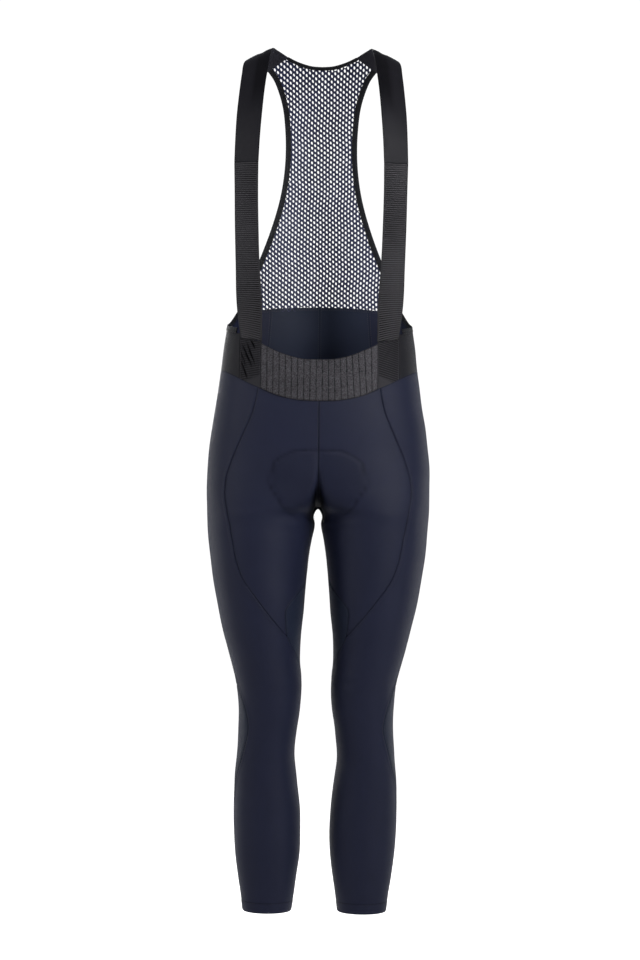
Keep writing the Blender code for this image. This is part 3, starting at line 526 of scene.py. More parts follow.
def chart(front_edge, back_edge, top_edge, shares, top_rows, drops=None, bottom_edge=None):
    """Angles and drops of a panel's grid."""
    shares = np.asarray(shares)

    def end(edge):
        drop = np.full(len(shares), YOKE - 0.07)
        for _ in range(12):
            drop = edge(front_edge(drop) + shares * (back_edge(drop) - front_edge(drop)))
        return drop

    first = end(top_edge)
    last = end(bottom_edge) if bottom_edge else drops[0]
    rows = first + (last - first) * np.asarray(top_rows)[:, None]
    if drops is not None:
        rows = np.vstack([rows[:-1], np.asarray(drops)[:, None] + 0 * shares])
    return front_edge(rows) + shares * (back_edge(rows) - front_edge(rows)), rows


def level_rows(last, step):
    """Drops of level rows, closer together at the crotch and the hem."""
    rise = CROTCH - YOKE
    above = CROTCH - rise * np.linspace(1.0, 0.0, int(rise / step * 1.25)) ** 1.5
    below = CROTCH + 0.05 * np.linspace(0.0, 1.0, int(0.05 / step * 1.3)) ** 1.3
    rest = np.linspace(CROTCH + 0.05, last, int((last - CROTCH - 0.05) / step) + 1)
    rows = np.concatenate([above, below[1:], rest[1:]])
    if last == HEM:
        around = np.array([-0.0026, -0.0014, -0.0007, 0.0, 0.0007, 0.0014, 0.0026])
        for seam in (SEAT_SEAM, KNEE_SEAM):
            rows = np.concatenate([rows[np.abs(rows - seam) > 0.0030], seam + around])
        rows = np.sort(rows)
        low = HEM - np.array([0.0190, 0.0175, 0.0163, 0.0155, 0.0147, 0.0135, 0.0110, 0.0080,
                              0.0050, 0.0028, 0.0014, 0.0006, 0.0])
        rows = np.concatenate([rows[rows < low[0] - step / 2], low])
    return rows


# Materials

def cloth(name, colour, gauge=0.0008, bump=0.25, mottle=0.10, roughness=0.54, specular=0.15,
          sheen=0.06, fleck=0.0, twill=False):
    """Knitted cloth: wales and courses in relief, slow colour unevenness, and dark seam lines with
    painted shade from the shade attribute.
    """
    material = bpy.data.materials.new(name)
    material.use_nodes = True
    tree = material.node_tree
    shader = tree.nodes["Principled BSDF"]
    link = tree.links.new

    def node(kind, **values):
        made = tree.nodes.new(kind)
        for key, value in values.items():
            if hasattr(made, key):
                setattr(made, key, value)
            else:
                made.inputs[key.replace("_", " ")].default_value = value
        return made

    def maths(operation, *values):
        made = node("ShaderNodeMath", operation=operation)
        for slot, value in zip(made.inputs, values):
            if isinstance(value, (int, float)):
                slot.default_value = value
            else:
                link(value, slot)
        return made.outputs[0]

    uv = node("ShaderNodeUVMap", uv_map="metres")
    place = node("ShaderNodeTexCoord").outputs["Object"]
    split = node("ShaderNodeSeparateXYZ")
    link(uv.outputs[0], split.inputs[0])
    u, v = split.outputs[0], split.outputs[1]
    if twill:
        u, v = (maths("ADD", u, maths("MULTIPLY", v, 0.6)),
                maths("SUBTRACT", v, maths("MULTIPLY", u, 0.6)))
    wale = maths("ABSOLUTE", maths("SINE", maths("MULTIPLY", u, math.pi / gauge)))
    course = maths("ABSOLUTE", maths("SINE", maths("MULTIPLY", v, math.pi / (gauge * 1.35))))
    knit = maths("MULTIPLY_ADD", wale, 0.65, maths("MULTIPLY", course, 0.35))
    fuzz = node("ShaderNodeTexNoise", Scale=900.0, Detail=2.0)
    slow = node("ShaderNodeTexNoise", Scale=14.0, Detail=2.0)
    patch = node("ShaderNodeTexNoise", Scale=130.0, Detail=3.0)
    for texture in (fuzz, slow, patch):
        link(place, texture.inputs["Vector"])
    relief = maths("MULTIPLY_ADD", fuzz.outputs[0], 0.5, knit)
    rise = node("ShaderNodeBump", Strength=bump, Distance=0.0003)
    link(relief, rise.inputs["Height"])
    link(rise.outputs[0], shader.inputs["Normal"])

    blend = maths("MULTIPLY_ADD", slow.outputs[0], 0.6, maths("MULTIPLY", patch.outputs[0], 0.4))
    blend = maths("MULTIPLY_ADD", maths("SUBTRACT", blend, 0.5), 4.0 * mottle, 1.0 - mottle * 0.2)
    blend = maths("MULTIPLY_ADD", maths("SUBTRACT", knit, 0.6), 0.25, blend)
    if fleck:
        speck = node("ShaderNodeTexNoise", Scale=650.0, Detail=1.0)
        link(place, speck.inputs["Vector"])
        blend = maths("MULTIPLY_ADD", maths("SUBTRACT", speck.outputs[0], 0.5), fleck, blend)
    # The shade attribute darkens the colour: dark seam lines, and painted shade in furrows, rib
    # grooves, creases, the cleft and over the seat pad
    line = node("ShaderNodeAttribute", attribute_name="shade")
    lit = maths("SUBTRACT", 1.0, line.outputs["Fac"])
    blend = maths("MULTIPLY", blend, lit)
    tint = node("ShaderNodeMix", data_type="RGBA")
    tint.blend_type = "MULTIPLY"
    tint.inputs[0].default_value = 1.0
    tint.inputs[6].default_value = (*colour, 1.0)
    grey = node("ShaderNodeCombineColor")
    for slot in grey.inputs:
        link(blend, slot)
    link(grey.outputs[0], tint.inputs[7])
    link(tint.outputs[2], shader.inputs["Base Color"])
    rough = maths("MULTIPLY_ADD", patch.outputs[0], 0.14, roughness - 0.07)
    link(rough, shader.inputs["Roughness"])
    # Dark seam lines and the painted shade in furrows, rib grooves, creases and the cleft also dim
    # the gloss and sheen
    bare = maths("MINIMUM", lit, 1.0)
    link(maths("MULTIPLY", bare, specular), shader.inputs["Specular IOR Level"])
    link(maths("MULTIPLY", bare, sheen), shader.inputs["Sheen Weight"])
    shader.inputs["Sheen Roughness"].default_value = 0.35
    shader.inputs["Sheen Tint"].default_value = (0.72, 0.76, 1.0, 1.0)
    material.diffuse_color = (*colour, 1.0)
    return material


FRONT_CLOTH = cloth("navy_front_cloth", (0.0102, 0.0124, 0.0300))
SIDE_CLOTH = cloth("navy_side_cloth", (0.0104, 0.0126, 0.0305))
# The back panels' navy is lighter than the front's: painted light for the inside of the back, seen
# above the waistband
LIGHTENED_BACK_CLOTH = cloth("navy_back_cloth_painted_lighter", (0.0115, 0.0158, 0.0325))
SMOOTH_WAIST = cloth("charcoal_waist_cloth", (0.0078, 0.0076, 0.0108), gauge=0.0007)
RIBBED_WAIST = cloth("charcoal_ribbed_elastic", (0.0190, 0.0183, 0.0225), gauge=0.0009, bump=0.4)
FRONT_BAND = cloth("grey_ribbed_elastic", (0.0435, 0.0415, 0.0480), gauge=0.0011, bump=0.6,
                   mottle=0.34, fleck=2.6, twill=True)
LOWER_ELASTIC = cloth("charcoal_strap_elastic", (0.0440, 0.0425, 0.0480), bump=0.4, mottle=0.16,
                      fleck=0.6)
UPPER_ELASTIC = cloth("charcoal_smooth_elastic", (0.0080, 0.0077, 0.0110), gauge=0.0006, bump=0.2)
BINDING = cloth("black_binding_tape", (0.0095, 0.0100, 0.0125), gauge=0.0006, bump=0.35)
NET_YARN = cloth("navy_net_yarn", (0.0130, 0.0175, 0.0560), gauge=0.0005, bump=0.4, specular=0.3)
THREAD = cloth("navy_thread", (0.0170, 0.0185, 0.0300), gauge=0.0004, bump=0.3, roughness=0.5)
PALE_THREAD = cloth("charcoal_thread", (0.0420, 0.0420, 0.0480), gauge=0.0004, bump=0.3,
                    roughness=0.5)


# Body panels

def dress(nodes):
    """Hide the solids that a cloth piece stands for."""
    nodes = [nodes] if isinstance(nodes, str) else nodes
    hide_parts(*nodes)


def body_panel(name, angle, drop, side, material, hem=False, ridge=0.0,
               creases=CREASES, thickness=CLOTH, ribs=None):
    """One panel of cloth with its creases, seam furrows, ridges of seam allowance and hem."""
    base = body_point(angle, drop)
    normal = body_normal(angle, drop)
    across, down = run_along(base, 1), run_along(base, 0)
    from_front, from_back = across, across[:, -1:] - across
    soft = crease_height(base, creases, side) + undulation(base, side)
    rise, line = pad_height(base)
    cleft = cleft_depth(base) * (1 - smooth_step(CROTCH, CROTCH + 0.03, drop))
    if name == "front":
        soft = soft + rise - cleft
    if name == "back":
        soft = soft - 0.6 * cleft
    furrow = np.zeros_like(drop)
    shade = np.zeros_like(drop)
    for gap in (from_front, from_back):
        furrow -= SEAM_DEPTH * bell(gap, 0.0010)
        furrow += ridge * smooth_step(0.0, 0.0015, gap) * (1 - smooth_step(0.0050, 0.0072, gap))
        shade = np.maximum(shade, 0.55 * bell(gap, 0.0008))
    furrow -= 0.0004 * bell(down, 0.0010)
    shade = np.maximum(shade, 0.6 * bell(down, 0.0008))
    if name == "front":
        # Painted shade: a dark wedge in the cleft above the crotch, a slight darkening over the
        # seat pad and a dark line along the pad's edge
        painted_pad_shade = np.clip(rise / PAD_RISE, 0, 1) * smooth_step(0.735, 0.700, drop)
        reach = 0.0015 + 0.0110 * smooth_step(0.665, 0.716, drop)
        painted_cleft_shadow = bell(base[..., 0], reach) * smooth_step(0.648, 0.690, drop)
        painted_cleft_shadow = painted_cleft_shadow * smooth_step(CROTCH + 0.022, CROTCH, drop)
        for dark in (0.36 * line * smooth_step(0.740, 0.700, drop), 0.14 * painted_pad_shade, 0.86 * painted_cleft_shadow):
            shade = np.maximum(shade, dark)
    if name == "back":
        for seam in (SEAT_SEAM, KNEE_SEAM):
            gap = np.abs(drop - seam)
            furrow -= SEAM_DEPTH * bell(gap, 0.0011)
            shade = np.maximum(shade, 0.6 * bell(gap, 0.0009))
    if hem:
        up = HEM - drop
        furrow += 0.00030 * (1 - smooth_step(HEM_TURN, 0.0163, up)) - 0.0006 * bell(up, 0.0012)
        shade = np.maximum(shade, 0.35 * bell(up - 0.0156, 0.0008))
    ribbed = 0.0
    if ribs:
        ribbed, rib_shade = ribs(base, from_front, from_back)
        # Painted shade in the rib grooves and in the creases
        for dark in (rib_shade, 0.75 * np.clip(-soft / 0.0013, 0, 1) ** 1.2):
            shade = np.maximum(shade, dark)
        # The creases fade at the edges, so that neighbours meet
        soft = soft * smooth_step(0.0, 0.004, np.minimum(np.minimum(from_front, from_back), down))
    outer = base + normal * (soft + furrow + ribbed)[..., None]
    inner = base + normal * (soft - thickness)[..., None]
    if name in ("front", "back"):
        # Both sides meet at the centre seam. Below the crotch the legs part in a pointed arch
        column = 0 if name == "front" else -1
        joined = drop[:, column] <= CROTCH
        fall = drop - CROTCH
        near = smooth_step(-0.004, 0.004, fall) * (1 - smooth_step(0.006, 0.060, fall))
        for layer in (outer, inner):
            layer[..., 0] -= 0.0034 * near * bell(layer[..., 0], 0.013)
            layer[..., 0] = np.where(fall <= 0.060, np.maximum(layer[..., 0], 2e-6), layer[..., 0])
            layer[joined, column, 0] = -1e-5
    word = "left" if side > 0 else "right"
    uv = np.stack([across, drop], axis=-1)
    piece = shell(f"{name}_{word}_cloth", outer, inner, material, uv, shade, mirrored=side < 0)
    parts = ("seat", "thigh_back", "calf") if name == "back" else (name,)
    dress([f"{part}_{word}" for part in parts])


def build_body():
    """Front, side and back panels of both legs."""
    fine, step = ((1.0, 0.0030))
    top = uneven(26, 0.5)
    front_drops = level_rows(FRONT_POINT, step)
    hem_drops = level_rows(HEM, step)
    (seam_angle, _), (back_angle, _) = WAIST_BACK_SEAM
    first, last = SIDE_FRONT_SEAM[0][1], SIDE_BACK_SEAM[0][1]
    keys = (seam_angle, seam_angle + 0.4, back_angle - 0.3, back_angle)
    keys = [(angle - first) / (last - first) for angle in keys]
    side_shares = np.sort(np.concatenate([uneven(int(76 * fine)), keys]))
    front_shares, back_shares = uneven(int(52 * fine)), uneven(int(60 * fine))
    for side in (1, -1):
        angle, drop = chart(centre_front, side_front, waist_bottom, front_shares, top, front_drops)
        body_panel("front", angle, drop, side, FRONT_CLOTH)
        angle, drop = chart(side_front, side_back_seam, side_panel_top, side_shares, top, hem_drops)
        body_panel("side", angle, drop, side, SIDE_CLOTH, hem=True, ridge=0.00030)
        angle, drop = chart(side_back_seam, centre_back, net_foot_at, back_shares, top, hem_drops)
        body_panel("back", angle, drop, side, LIGHTENED_BACK_CLOTH, hem=True)


# Waistband

def waist_line(line):
    """Turn an edge given by angle into one given by distance from the centre line."""
    def read(distance):
        drop = np.full(np.shape(distance), 0.50)
        for _ in range(8):
            drop = line(angle_across(np.maximum(np.abs(distance), 1e-5), drop, -1))
        return drop

    return read


def build_waist_front():
    """Wide upright ribs with stitched furrows between them."""
    pitch = 2 * WAIST_SEAM / WAIST_RIBS
    share = np.array([0.0, 0.06, 0.13, 0.24, 0.42, 0.58, 0.76, 0.87, 0.94])
    place = (np.arange(WAIST_RIBS)[:, None] + share[None]).ravel()
    place = np.append(place, WAIST_RIBS)
    distance = -WAIST_SEAM + place * pitch
    rows = uneven(40, 0.75)
    top, bottom = waist_line(waist_top)(distance), waist_line(waist_bottom)(distance)
    drop = top + (bottom - top) * rows[:, None]
    # On the wearer's left side the ribs lean outwards as they go down
    lean = 0.0042 * smooth_step(0.0, 0.060, distance) * smooth_step(WAIST_SEAM, 0.066, distance)
    spread = distance + lean * (rows[:, None] - 0.5)
    point, normal = across_centre(spread, drop, -1)
    down = run_along(point, 0)
    up = down[-1:] - down
    phase = np.abs((place + 0.5) % 1.0 - 0.5)
    groove = bell(phase, 0.066)
    wobble = 0.00012 * np.sin(place * 2 * np.pi * 0.37)[None] * np.sin(down * 140)
    band = 0.00050 * (1 - groove) + wobble
    band = band - 0.0005 * bell(down, 0.0012) - 0.0004 * bell(up, 0.0012)
    # The furrows are darkened in dashes: painted shade in the furrows together with the dark
    # stitches sewn along them
    dots = 0.82 + 0.18 * np.sign(np.sin(down * 2 * np.pi / 0.0032))
    shade = np.maximum(0.97 * groove * dots, 0.55 * bell(down, 0.0010))
    shade = np.maximum(shade, 0.62 * bell(up, 0.0014))
    ends = np.minimum(spread + WAIST_SEAM, WAIST_SEAM - spread)
    shade = np.maximum(shade, 0.6 * bell(ends, 0.0009))
    outer = point + normal * band[..., None]
    inner = point - normal * ELASTIC
    uv = np.stack([spread, drop], axis=-1)
    outer, inner, uv, shade = (layer[:, ::-1] for layer in (outer, inner, uv, shade))
    piece = shell("waist_front_elastic", outer, inner, FRONT_BAND, uv, shade)
    dress("waist_front")


def build_waist_sides():
    """Ribbed pieces under the straps and smooth sides."""
    def rib_front(drop):
        return angle_across(WAIST_SEAM, drop, -1)

    def rib_back(drop):
        return angle_across(SIDE_SEAM, drop, -1)

    def side_ribs(sign):
        def ribs(base, from_front, from_back):
            slope = 0.30 if sign > 0 else 0.16
            drop = -base[..., 2]
            fall = drop - slope * (base[..., 0] - WAIST_SEAM)
            # Under the lower stitch line the piece is smooth
            under = drop - (0.5085 + 0.36 * from_front)
            ribbed = smooth_step(0.0010, 0.0026, np.minimum(from_front, from_back))
            ribbed = ribbed * (1 - smooth_step(-0.0010, 0.0010, under))
            wave = 0.5 + 0.5 * np.cos(2 * np.pi * fall / WAIST_CROSS_RIB)
            height = 0.00040 * wave * ribbed + 0.0004 * bell(under, 0.0009)
            # The grooves between the ribs get painted shade
            return height, 0.74 * (1 - wave) ** 1.3 * ribbed

        return ribs

    for side in (1, -1):
        angle, drop = chart(rib_front, rib_back, strap_foot, uneven(56, 0.3),
                            np.linspace(0, 1, 150), bottom_edge=waist_bottom)
        body_panel("waist_rib", angle, drop, side, RIBBED_WAIST, thickness=ELASTIC,
                   creases=WAIST_CREASES, ribs=side_ribs(side))
        angle, drop = chart(rib_back, waist_back_seam, armhole_edge, uneven(44), uneven(34, 0.6),
                            bottom_edge=waist_bottom)
        body_panel("waist_side", angle, drop, side, SMOOTH_WAIST)


# Straps

def strap_grid(rows, base_count, lengths, across, end_normals):
    """Points, outward directions and run of a strap between its inner and outer edges."""
    rows = np.asarray(rows, float)
    centres = (rows[:, :3] + rows[:, 3:]) / 2
    run = np.concatenate([[0.0], np.cumsum(np.linalg.norm(np.diff(centres, axis=0), axis=1))])
    read = smooth_curve(np.column_stack([run, rows]))
    edges = read(run[-1] * lengths)
    share = across[None, :, None]
    grid = edges[:, None, :3] * (1 - share) + edges[:, None, 3:] * share
    along = np.gradient(grid, axis=0)
    sideways = np.gradient(grid, axis=1)
    normal = unit(np.cross(sideways, along))
    weights = (1 - smooth_step(0.0, 2.0 / base_count, lengths),
               smooth_step(1 - 2.0 / base_count, 1.0, lengths))
    for given, weight in zip(end_normals, weights):
        if given is not None:
            weight = weight[:, None, None]
            normal = unit(normal * (1 - weight) + np.asarray(given) * weight)
    bow = STRAP_BOW * 4 * across * (1 - across)
    fade = np.clip(np.minimum(lengths, 1 - lengths) * base_count / 3, 0.0, 1.0)
    return grid + normal * bow[None, :, None] * fade[:, None, None], normal, run[-1] * lengths


def as_points(rows):
    """Turn rows of x, y, drop for both edges into points."""
    return [(a, b, -c, d, e, -f) for a, b, c, d, e, f in rows]


def strap(name, rows, count, base_count, end_normals, relief, material, side, inside=0.0):
    """A band of elastic on one side; relief gives its height, slack and shade."""
    across = uneven(19, 0.6)
    grid, normal, run = strap_grid(rows, base_count, np.linspace(0, 1, count), across, end_normals)
    width = np.linalg.norm(grid[:, -1] - grid[:, 0], axis=1)[:, None]
    across, run = across[None], run[:, None]
    edge = np.minimum(across, 1 - across) * width
    height, slack, shade = relief(across, run, edge, side)
    outer = grid + normal * (height + slack)[..., None]
    inner = grid + normal * (slack - ELASTIC)[..., None]
    uv = np.stack([across * width, run + 0 * edge], axis=-1)
    return shell(name, outer, inner, material, uv, shade, mirrored=side < 0, inside=inside)


def lower_relief(across, run, edge, side):
    """Cross ribs, which droop towards the inner edge near the foot."""
    lean = 0.0055 * np.exp(-run / 0.05) * (1 - across) ** 1.5
    phase = (run + lean + 0.0003 * np.sin(run * 61 + across * 3)) / STRAP_RIB
    wave = 0.5 + 0.5 * np.cos(2 * np.pi * phase)
    strength = 0.62 + 0.38 * (1 - across) + 0.10 * np.sin(run * 37 + side)
    ribbed = smooth_step(0.0016, 0.0028, edge)
    height = 0.00050 * wave * ribbed * strength - 0.00045 * bell(edge, 0.0006)
    height = height - 0.0004 * bell(run, 0.0010)
    slack = 0.0006 * np.sin(run * 26 + 2 * side) * np.sin(np.pi * across)
    slack = slack * smooth_step(0.0, 0.06, np.minimum(run, run[-1] - run))
    # Painted shade in the grooves between the ribs; the smooth edges and the sewn end are darker
    # too
    shade = 0.95 * (1 - wave) ** 1.1 * ribbed * strength + 0.45 * (1 - ribbed)
    return height, slack, np.maximum(shade, 0.7 * bell(run, 0.0012))


def upper_relief(across, run, edge, side):
    """Sewn ends, and a soft valley that runs along the strap over the shoulder, with painted shade
    on its inner side.
    """
    height = -0.00045 * bell(edge, 0.0006) + 0.00010 * np.cos(2 * np.pi * edge / 0.0060)
    shade = 0.30 * bell(edge, 0.0012)
    for end in (run, run[-1] - run):
        height = height - 0.0005 * bell(end, 0.0012)
        shade = np.maximum(shade, 0.65 * bell(end, 0.0011))
    valley = smooth_step(0.07, 0.13, run) * smooth_step(0.0, 0.05, run[-1] - run)
    height = height - 0.0011 * valley * bell(across - 0.42, 0.13)
    # Painted shade on the inner half along the valley
    shade = np.maximum(shade, 0.45 * valley * (1 - smooth_step(0.38, 0.56, across)))
    return height, 0 * edge, shade


def build_straps():
    """Cross-ribbed lower strap and smooth upper strap."""
    foot = []
    for distance, drop in ((WAIST_SEAM - 0.0005, 0.458), (SIDE_SEAM - 0.0012, 0.4525)):
        angle = float(angle_across(distance, drop, -1))
        foot.extend(body_point(angle, float(strap_foot(angle))))
    foot_normal = body_normal(-43.0, float(strap_foot(-43.0)))
    seam = []
    for x, drop in SHOULDER_SEAM:
        seam.extend(body_point(float(angle_across(x, drop, 1)), drop + 0.0006))
    x, drop = np.mean(SHOULDER_SEAM, axis=0)
    seam_normal = body_normal(float(angle_across(x, drop, 1)), drop)
    join = as_points([STRAP_JOIN])
    lower_rows = [tuple(foot)] + as_points(LOWER_STRAP) + join
    upper_rows = join + as_points(UPPER_STRAP) + [tuple(seam)]
    count = 620
    for side, word in SIDES:
        piece = strap(f"strap_lower_{word}_elastic", lower_rows, count, 16, (foot_normal, None),
                      lower_relief, LOWER_ELASTIC, side)
        dress(f"strap_lower_{word}")
        piece = strap(f"strap_upper_{word}_elastic", upper_rows, 150, 20, (None, seam_normal),
                      upper_relief, UPPER_ELASTIC, side, inside=-1.1)
        dress(f"strap_upper_{word}")


# Net and bindings

# Fold of a binding: share of the width from the folded edge, height in half thicknesses
FOLD = np.array((
    (1.01, -0.50), (1.00, -0.82), (0.90, -0.95), (0.72, -0.84), (0.45, -0.90), (0.18, -0.95),
    (0.04, -0.72), (-0.02, 0.00), (0.04, 0.72), (0.18, 0.95), (0.45, 0.90), (0.72, 0.84),
    (0.90, 0.95), (1.00, 0.82), (1.01, 0.50),
))


def binding(name, near, far, node, side):
    """A tape folded over the edge of the net."""
    share = FOLD[None, :, :1]
    height = FOLD[None, :, 1:] * TAPE / 2 - NET / 2
    if side == 0:
        # The tape thins out where a strap takes it in
        fade = smooth_step(0, 4, np.arange(len(near))[::-1] + 1.4)[:, None, None]
        height = (height + NET / 2) * fade - NET / 2
    place = near[:, None] + (far - near)[:, None] * share
    angle, drop = place[..., 0], place[..., 1]
    point, normal = body_point(angle, drop), body_normal(angle, drop)
    if side == 0:
        point, normal = (np.concatenate([half[:0:-1] * (-1, 1, 1), half])
                         for half in (point, normal))
        height = np.concatenate([height[:0:-1], height])
    ripple = 0.00008 * np.sin(np.arange(len(point)) * 1.9)[:, None, None]
    grid = point + normal * (height + ripple * np.sign(height + NET / 2))
    if side < 0:
        grid = grid * (-1, 1, 1)
    rows, columns, _ = grid.shape
    run = run_along(grid, 0)[:, :1] + 0 * grid[..., 0]
    uv = np.stack([run, run_along(grid, 1)], axis=-1).reshape(-1, 2)
    shade = (0.5 * bell(FOLD[:, 0] - 0.73, 0.05)[None] + 0 * run).ravel()
    faces = grid_faces(rows, columns, 0, side <= 0)
    piece = add_piece(name, grid.reshape(-1, 3), faces, BINDING, uv, shade)
    dress(node)


def build_bindings():
    """Neck and armhole bindings."""
    count = 230
    near = resample(below_shoulder(armhole_line), count, straight=True)
    far = resample(below_shoulder(armhole_inner), count, straight=True)
    for side, word in SIDES:
        node = f"binding_armhole_{word}"
        binding(f"{node}_tape", near, far, node, side)
    near = resample(below_shoulder(neck_line), 40, straight=True)
    far = resample(below_shoulder(neck_inner), 40, straight=True)
    binding("binding_neck_tape", near, far, "binding_neck", 0)


def build_net():
    """Knitted net of staggered oval holes, with rounded yarn between them."""
    half_row = NET_ROW / 2
    corner = (NET_COLUMN ** 2 - half_row ** 2) / (2 * NET_COLUMN)
    wide = NET_COLUMN - corner
    slant = (wide + corner) / 2
    rim = np.array([
        (wide, 0), (slant, half_row / 2), (corner, half_row), (-corner, half_row),
        (-slant, half_row / 2), (-wide, 0), (-slant, -half_row / 2), (-corner, -half_row),
        (corner, -half_row), (slant, -half_row / 2)])
    turn = np.arctan2(rim[:, 1], rim[:, 0])
    reach = 1 / np.sqrt((np.cos(turn) / HOLE[0]) ** 2 + (np.sin(turn) / HOLE[1]) ** 2)
    hole = np.stack([np.cos(turn), np.sin(turn)], axis=1) * reach[:, None]

    edge = body_point(*armhole_inner.T)
    keep = (edge[:, 1] > 0.02) & (armhole_inner[:, 1] < 0.409)
    edge_drop, edge_x = armhole_inner[keep, 1], edge[keep, 0]
    neck_x = body_point(*neck_inner.T)[:, 0]
    tape_x = body_point(*neck_line.T)[:, 0]
    i, j = (grid.ravel() for grid in np.meshgrid(np.arange(-26, 27), np.arange(56), indexing="ij"))
    x = i * NET_COLUMN
    drop = 0.004 + j * NET_ROW + (i % 2) * half_row
    out = np.abs(x)
    top = np.maximum(np.interp(out, neck_x, neck_inner[:, 1]), shoulder_line(out)) - 0.0022
    inside = (drop > top) & (drop < net_foot(out) + 0.0030)
    inside &= out < np.interp(drop, edge_drop, edge_x) + 0.0028
    x, drop = x[inside], drop[inside]
    cells = len(x)
    centre = np.stack([x, drop], axis=1)
    rim_places = centre[:, None] + rim
    keys = np.round(rim_places.reshape(-1, 2) / 2e-5).astype(np.int64)
    _, first, index = np.unique(keys, axis=0, return_index=True, return_inverse=True)
    index = index.reshape(cells, len(rim))
    rim_flat = rim_places.reshape(-1, 2)[first]
    scale = 1 + 0.05 * rng.standard_normal((cells, 1, 1))
    tilt = 0.34 + 0.08 * np.sin(drop * 23)[:, None] + 0.05 * rng.standard_normal((cells, 1))
    tilt = tilt - 3.2 * x[:, None]
    holes = hole[None] * np.clip(scale, 0.88, 1.10)
    holes = np.stack([holes[..., 0] + tilt * holes[..., 1] * 0.5, holes[..., 1]], axis=-1)
    hole_flat = (centre[:, None] + holes).reshape(-1, 2)
    middle_flat = (rim_places * 0.55 + (centre[:, None] + holes) * 0.45).reshape(-1, 2)

    def place(flat, depth):
        across, down = flat[:, 0], flat[:, 1]
        across = across + 0.0006 * np.sin(down * 41 + across * 22) + 0.0004 * np.sin(down * 97)
        down = down + 0.0007 * np.sin(across * 53 + down * 17)
        # No yarn passes the folded edge of the neck binding
        down = np.maximum(down, np.interp(np.abs(across), tape_x, neck_line[:, 1]) + 0.0016)
        point, normal = across_centre(across, down, 1)
        puff = 0.0003 * np.sin(across * 90) * np.sin(down * 44)
        return point + normal * (puff - depth)[:, None]

    # Outer and inner points of the cells' shared rims, of the middle of the yarn and of the holes
    layers = ((rim_flat, 0.00005), (rim_flat, 0.00095), (middle_flat, 0.00012),
              (middle_flat, 0.00088), (hole_flat, 0.00034), (hole_flat, 0.00066))
    points = np.vstack([place(flat, depth) for flat, depth in layers])
    flats = np.vstack([flat for flat, _ in layers])
    count = len(rim_flat)
    inner = np.arange(cells * len(rim)).reshape(cells, -1) + 2 * count
    middle_foot, hole_top, hole_foot = (inner + k * inner.size for k in (1, 2, 3))
    loops = (index, inner, hole_top, hole_foot, middle_foot, index + count)
    faces = []
    for a, b in zip(loops, loops[1:]):
        quads = np.stack([a, np.roll(a, -1, 1), np.roll(b, -1, 1), b], axis=-1)
        faces.append(quads.reshape(-1, 4))
    sides = np.stack([index, np.roll(index, -1, 1)], axis=-1).reshape(-1, 2)
    used = {}
    for a, b in sides.tolist():
        used[(min(a, b), max(a, b))] = None if (min(a, b), max(a, b)) in used else (a, b)
    single = np.array([pair for pair in used.values() if pair])
    faces.append(np.hstack([single[:, ::-1], single + count]))
    piece = add_piece("net_back_yarn", points, np.vstack(faces), NET_YARN, flats,
                      np.zeros(len(points)))
    dress("net_back")


# Stitches

def stitches(name, chains, material=THREAD, pitch=0.0030, length=0.0021, size=0.00022):
    """Rows of short stitches along lines, each a list of points and outward directions."""
    points, faces = [], []
    start = 0
    for line, normal in chains:
        run = np.concatenate([[0.0], np.cumsum(np.linalg.norm(np.diff(line, axis=0), axis=1))])
        places = np.arange(pitch / 2, run[-1] - length, pitch)
        if not len(places):
            continue

        def at(place, values):
            return np.stack([np.interp(place, run, values[:, k]) for k in range(3)], axis=1)

        head, tail = at(places, line), at(places + length, line)
        out = unit(at(places + length / 2, normal))
        along = unit(tail - head)
        sideways = np.cross(out, along)
        rings = []
        for share in (0.25, 0.75):
            centre = head + (tail - head) * share + out * size * 0.5
            for turn in np.radians((18, 90, 162, 234, 306)):
                rings.append(centre + sideways * (size * math.cos(turn))
                             + out * (size * 0.9 * math.sin(turn)))
        block = np.stack([head - out * size * 0.3] + rings + [tail - out * size * 0.3], axis=1)
        count = len(places)
        base = start + np.arange(count)[:, None] * 12
        for k in range(5):
            a, b = 1 + k, 1 + (k + 1) % 5
            faces += np.hstack([base, base + b, base + a]).tolist()
            faces += np.hstack([base + a, base + b, base + b + 5, base + a + 5]).tolist()
            faces += np.hstack([base + a + 5, base + b + 5, base + 11]).tolist()
        points.append(block.reshape(-1, 3))
        start += count * 12
    points = np.vstack(points)
    piece = add_piece(name, points, faces, material, points[:, :2], np.zeros(len(points)))


def chart_line(chain, lift, side):
    """Points and directions of a line of (angle, drop), lifted off the cloth."""
    point, normal = body_point(*chain.T), body_normal(*chain.T)
    flip = (side, 1, 1)
    return (point + normal * lift) * flip, normal * flip


def seam_line(edge, first, last, count):
    """A line of (angle, drop) down an edge."""
    drops = np.linspace(first, last, count)
    return np.column_stack([edge(drops), drops])


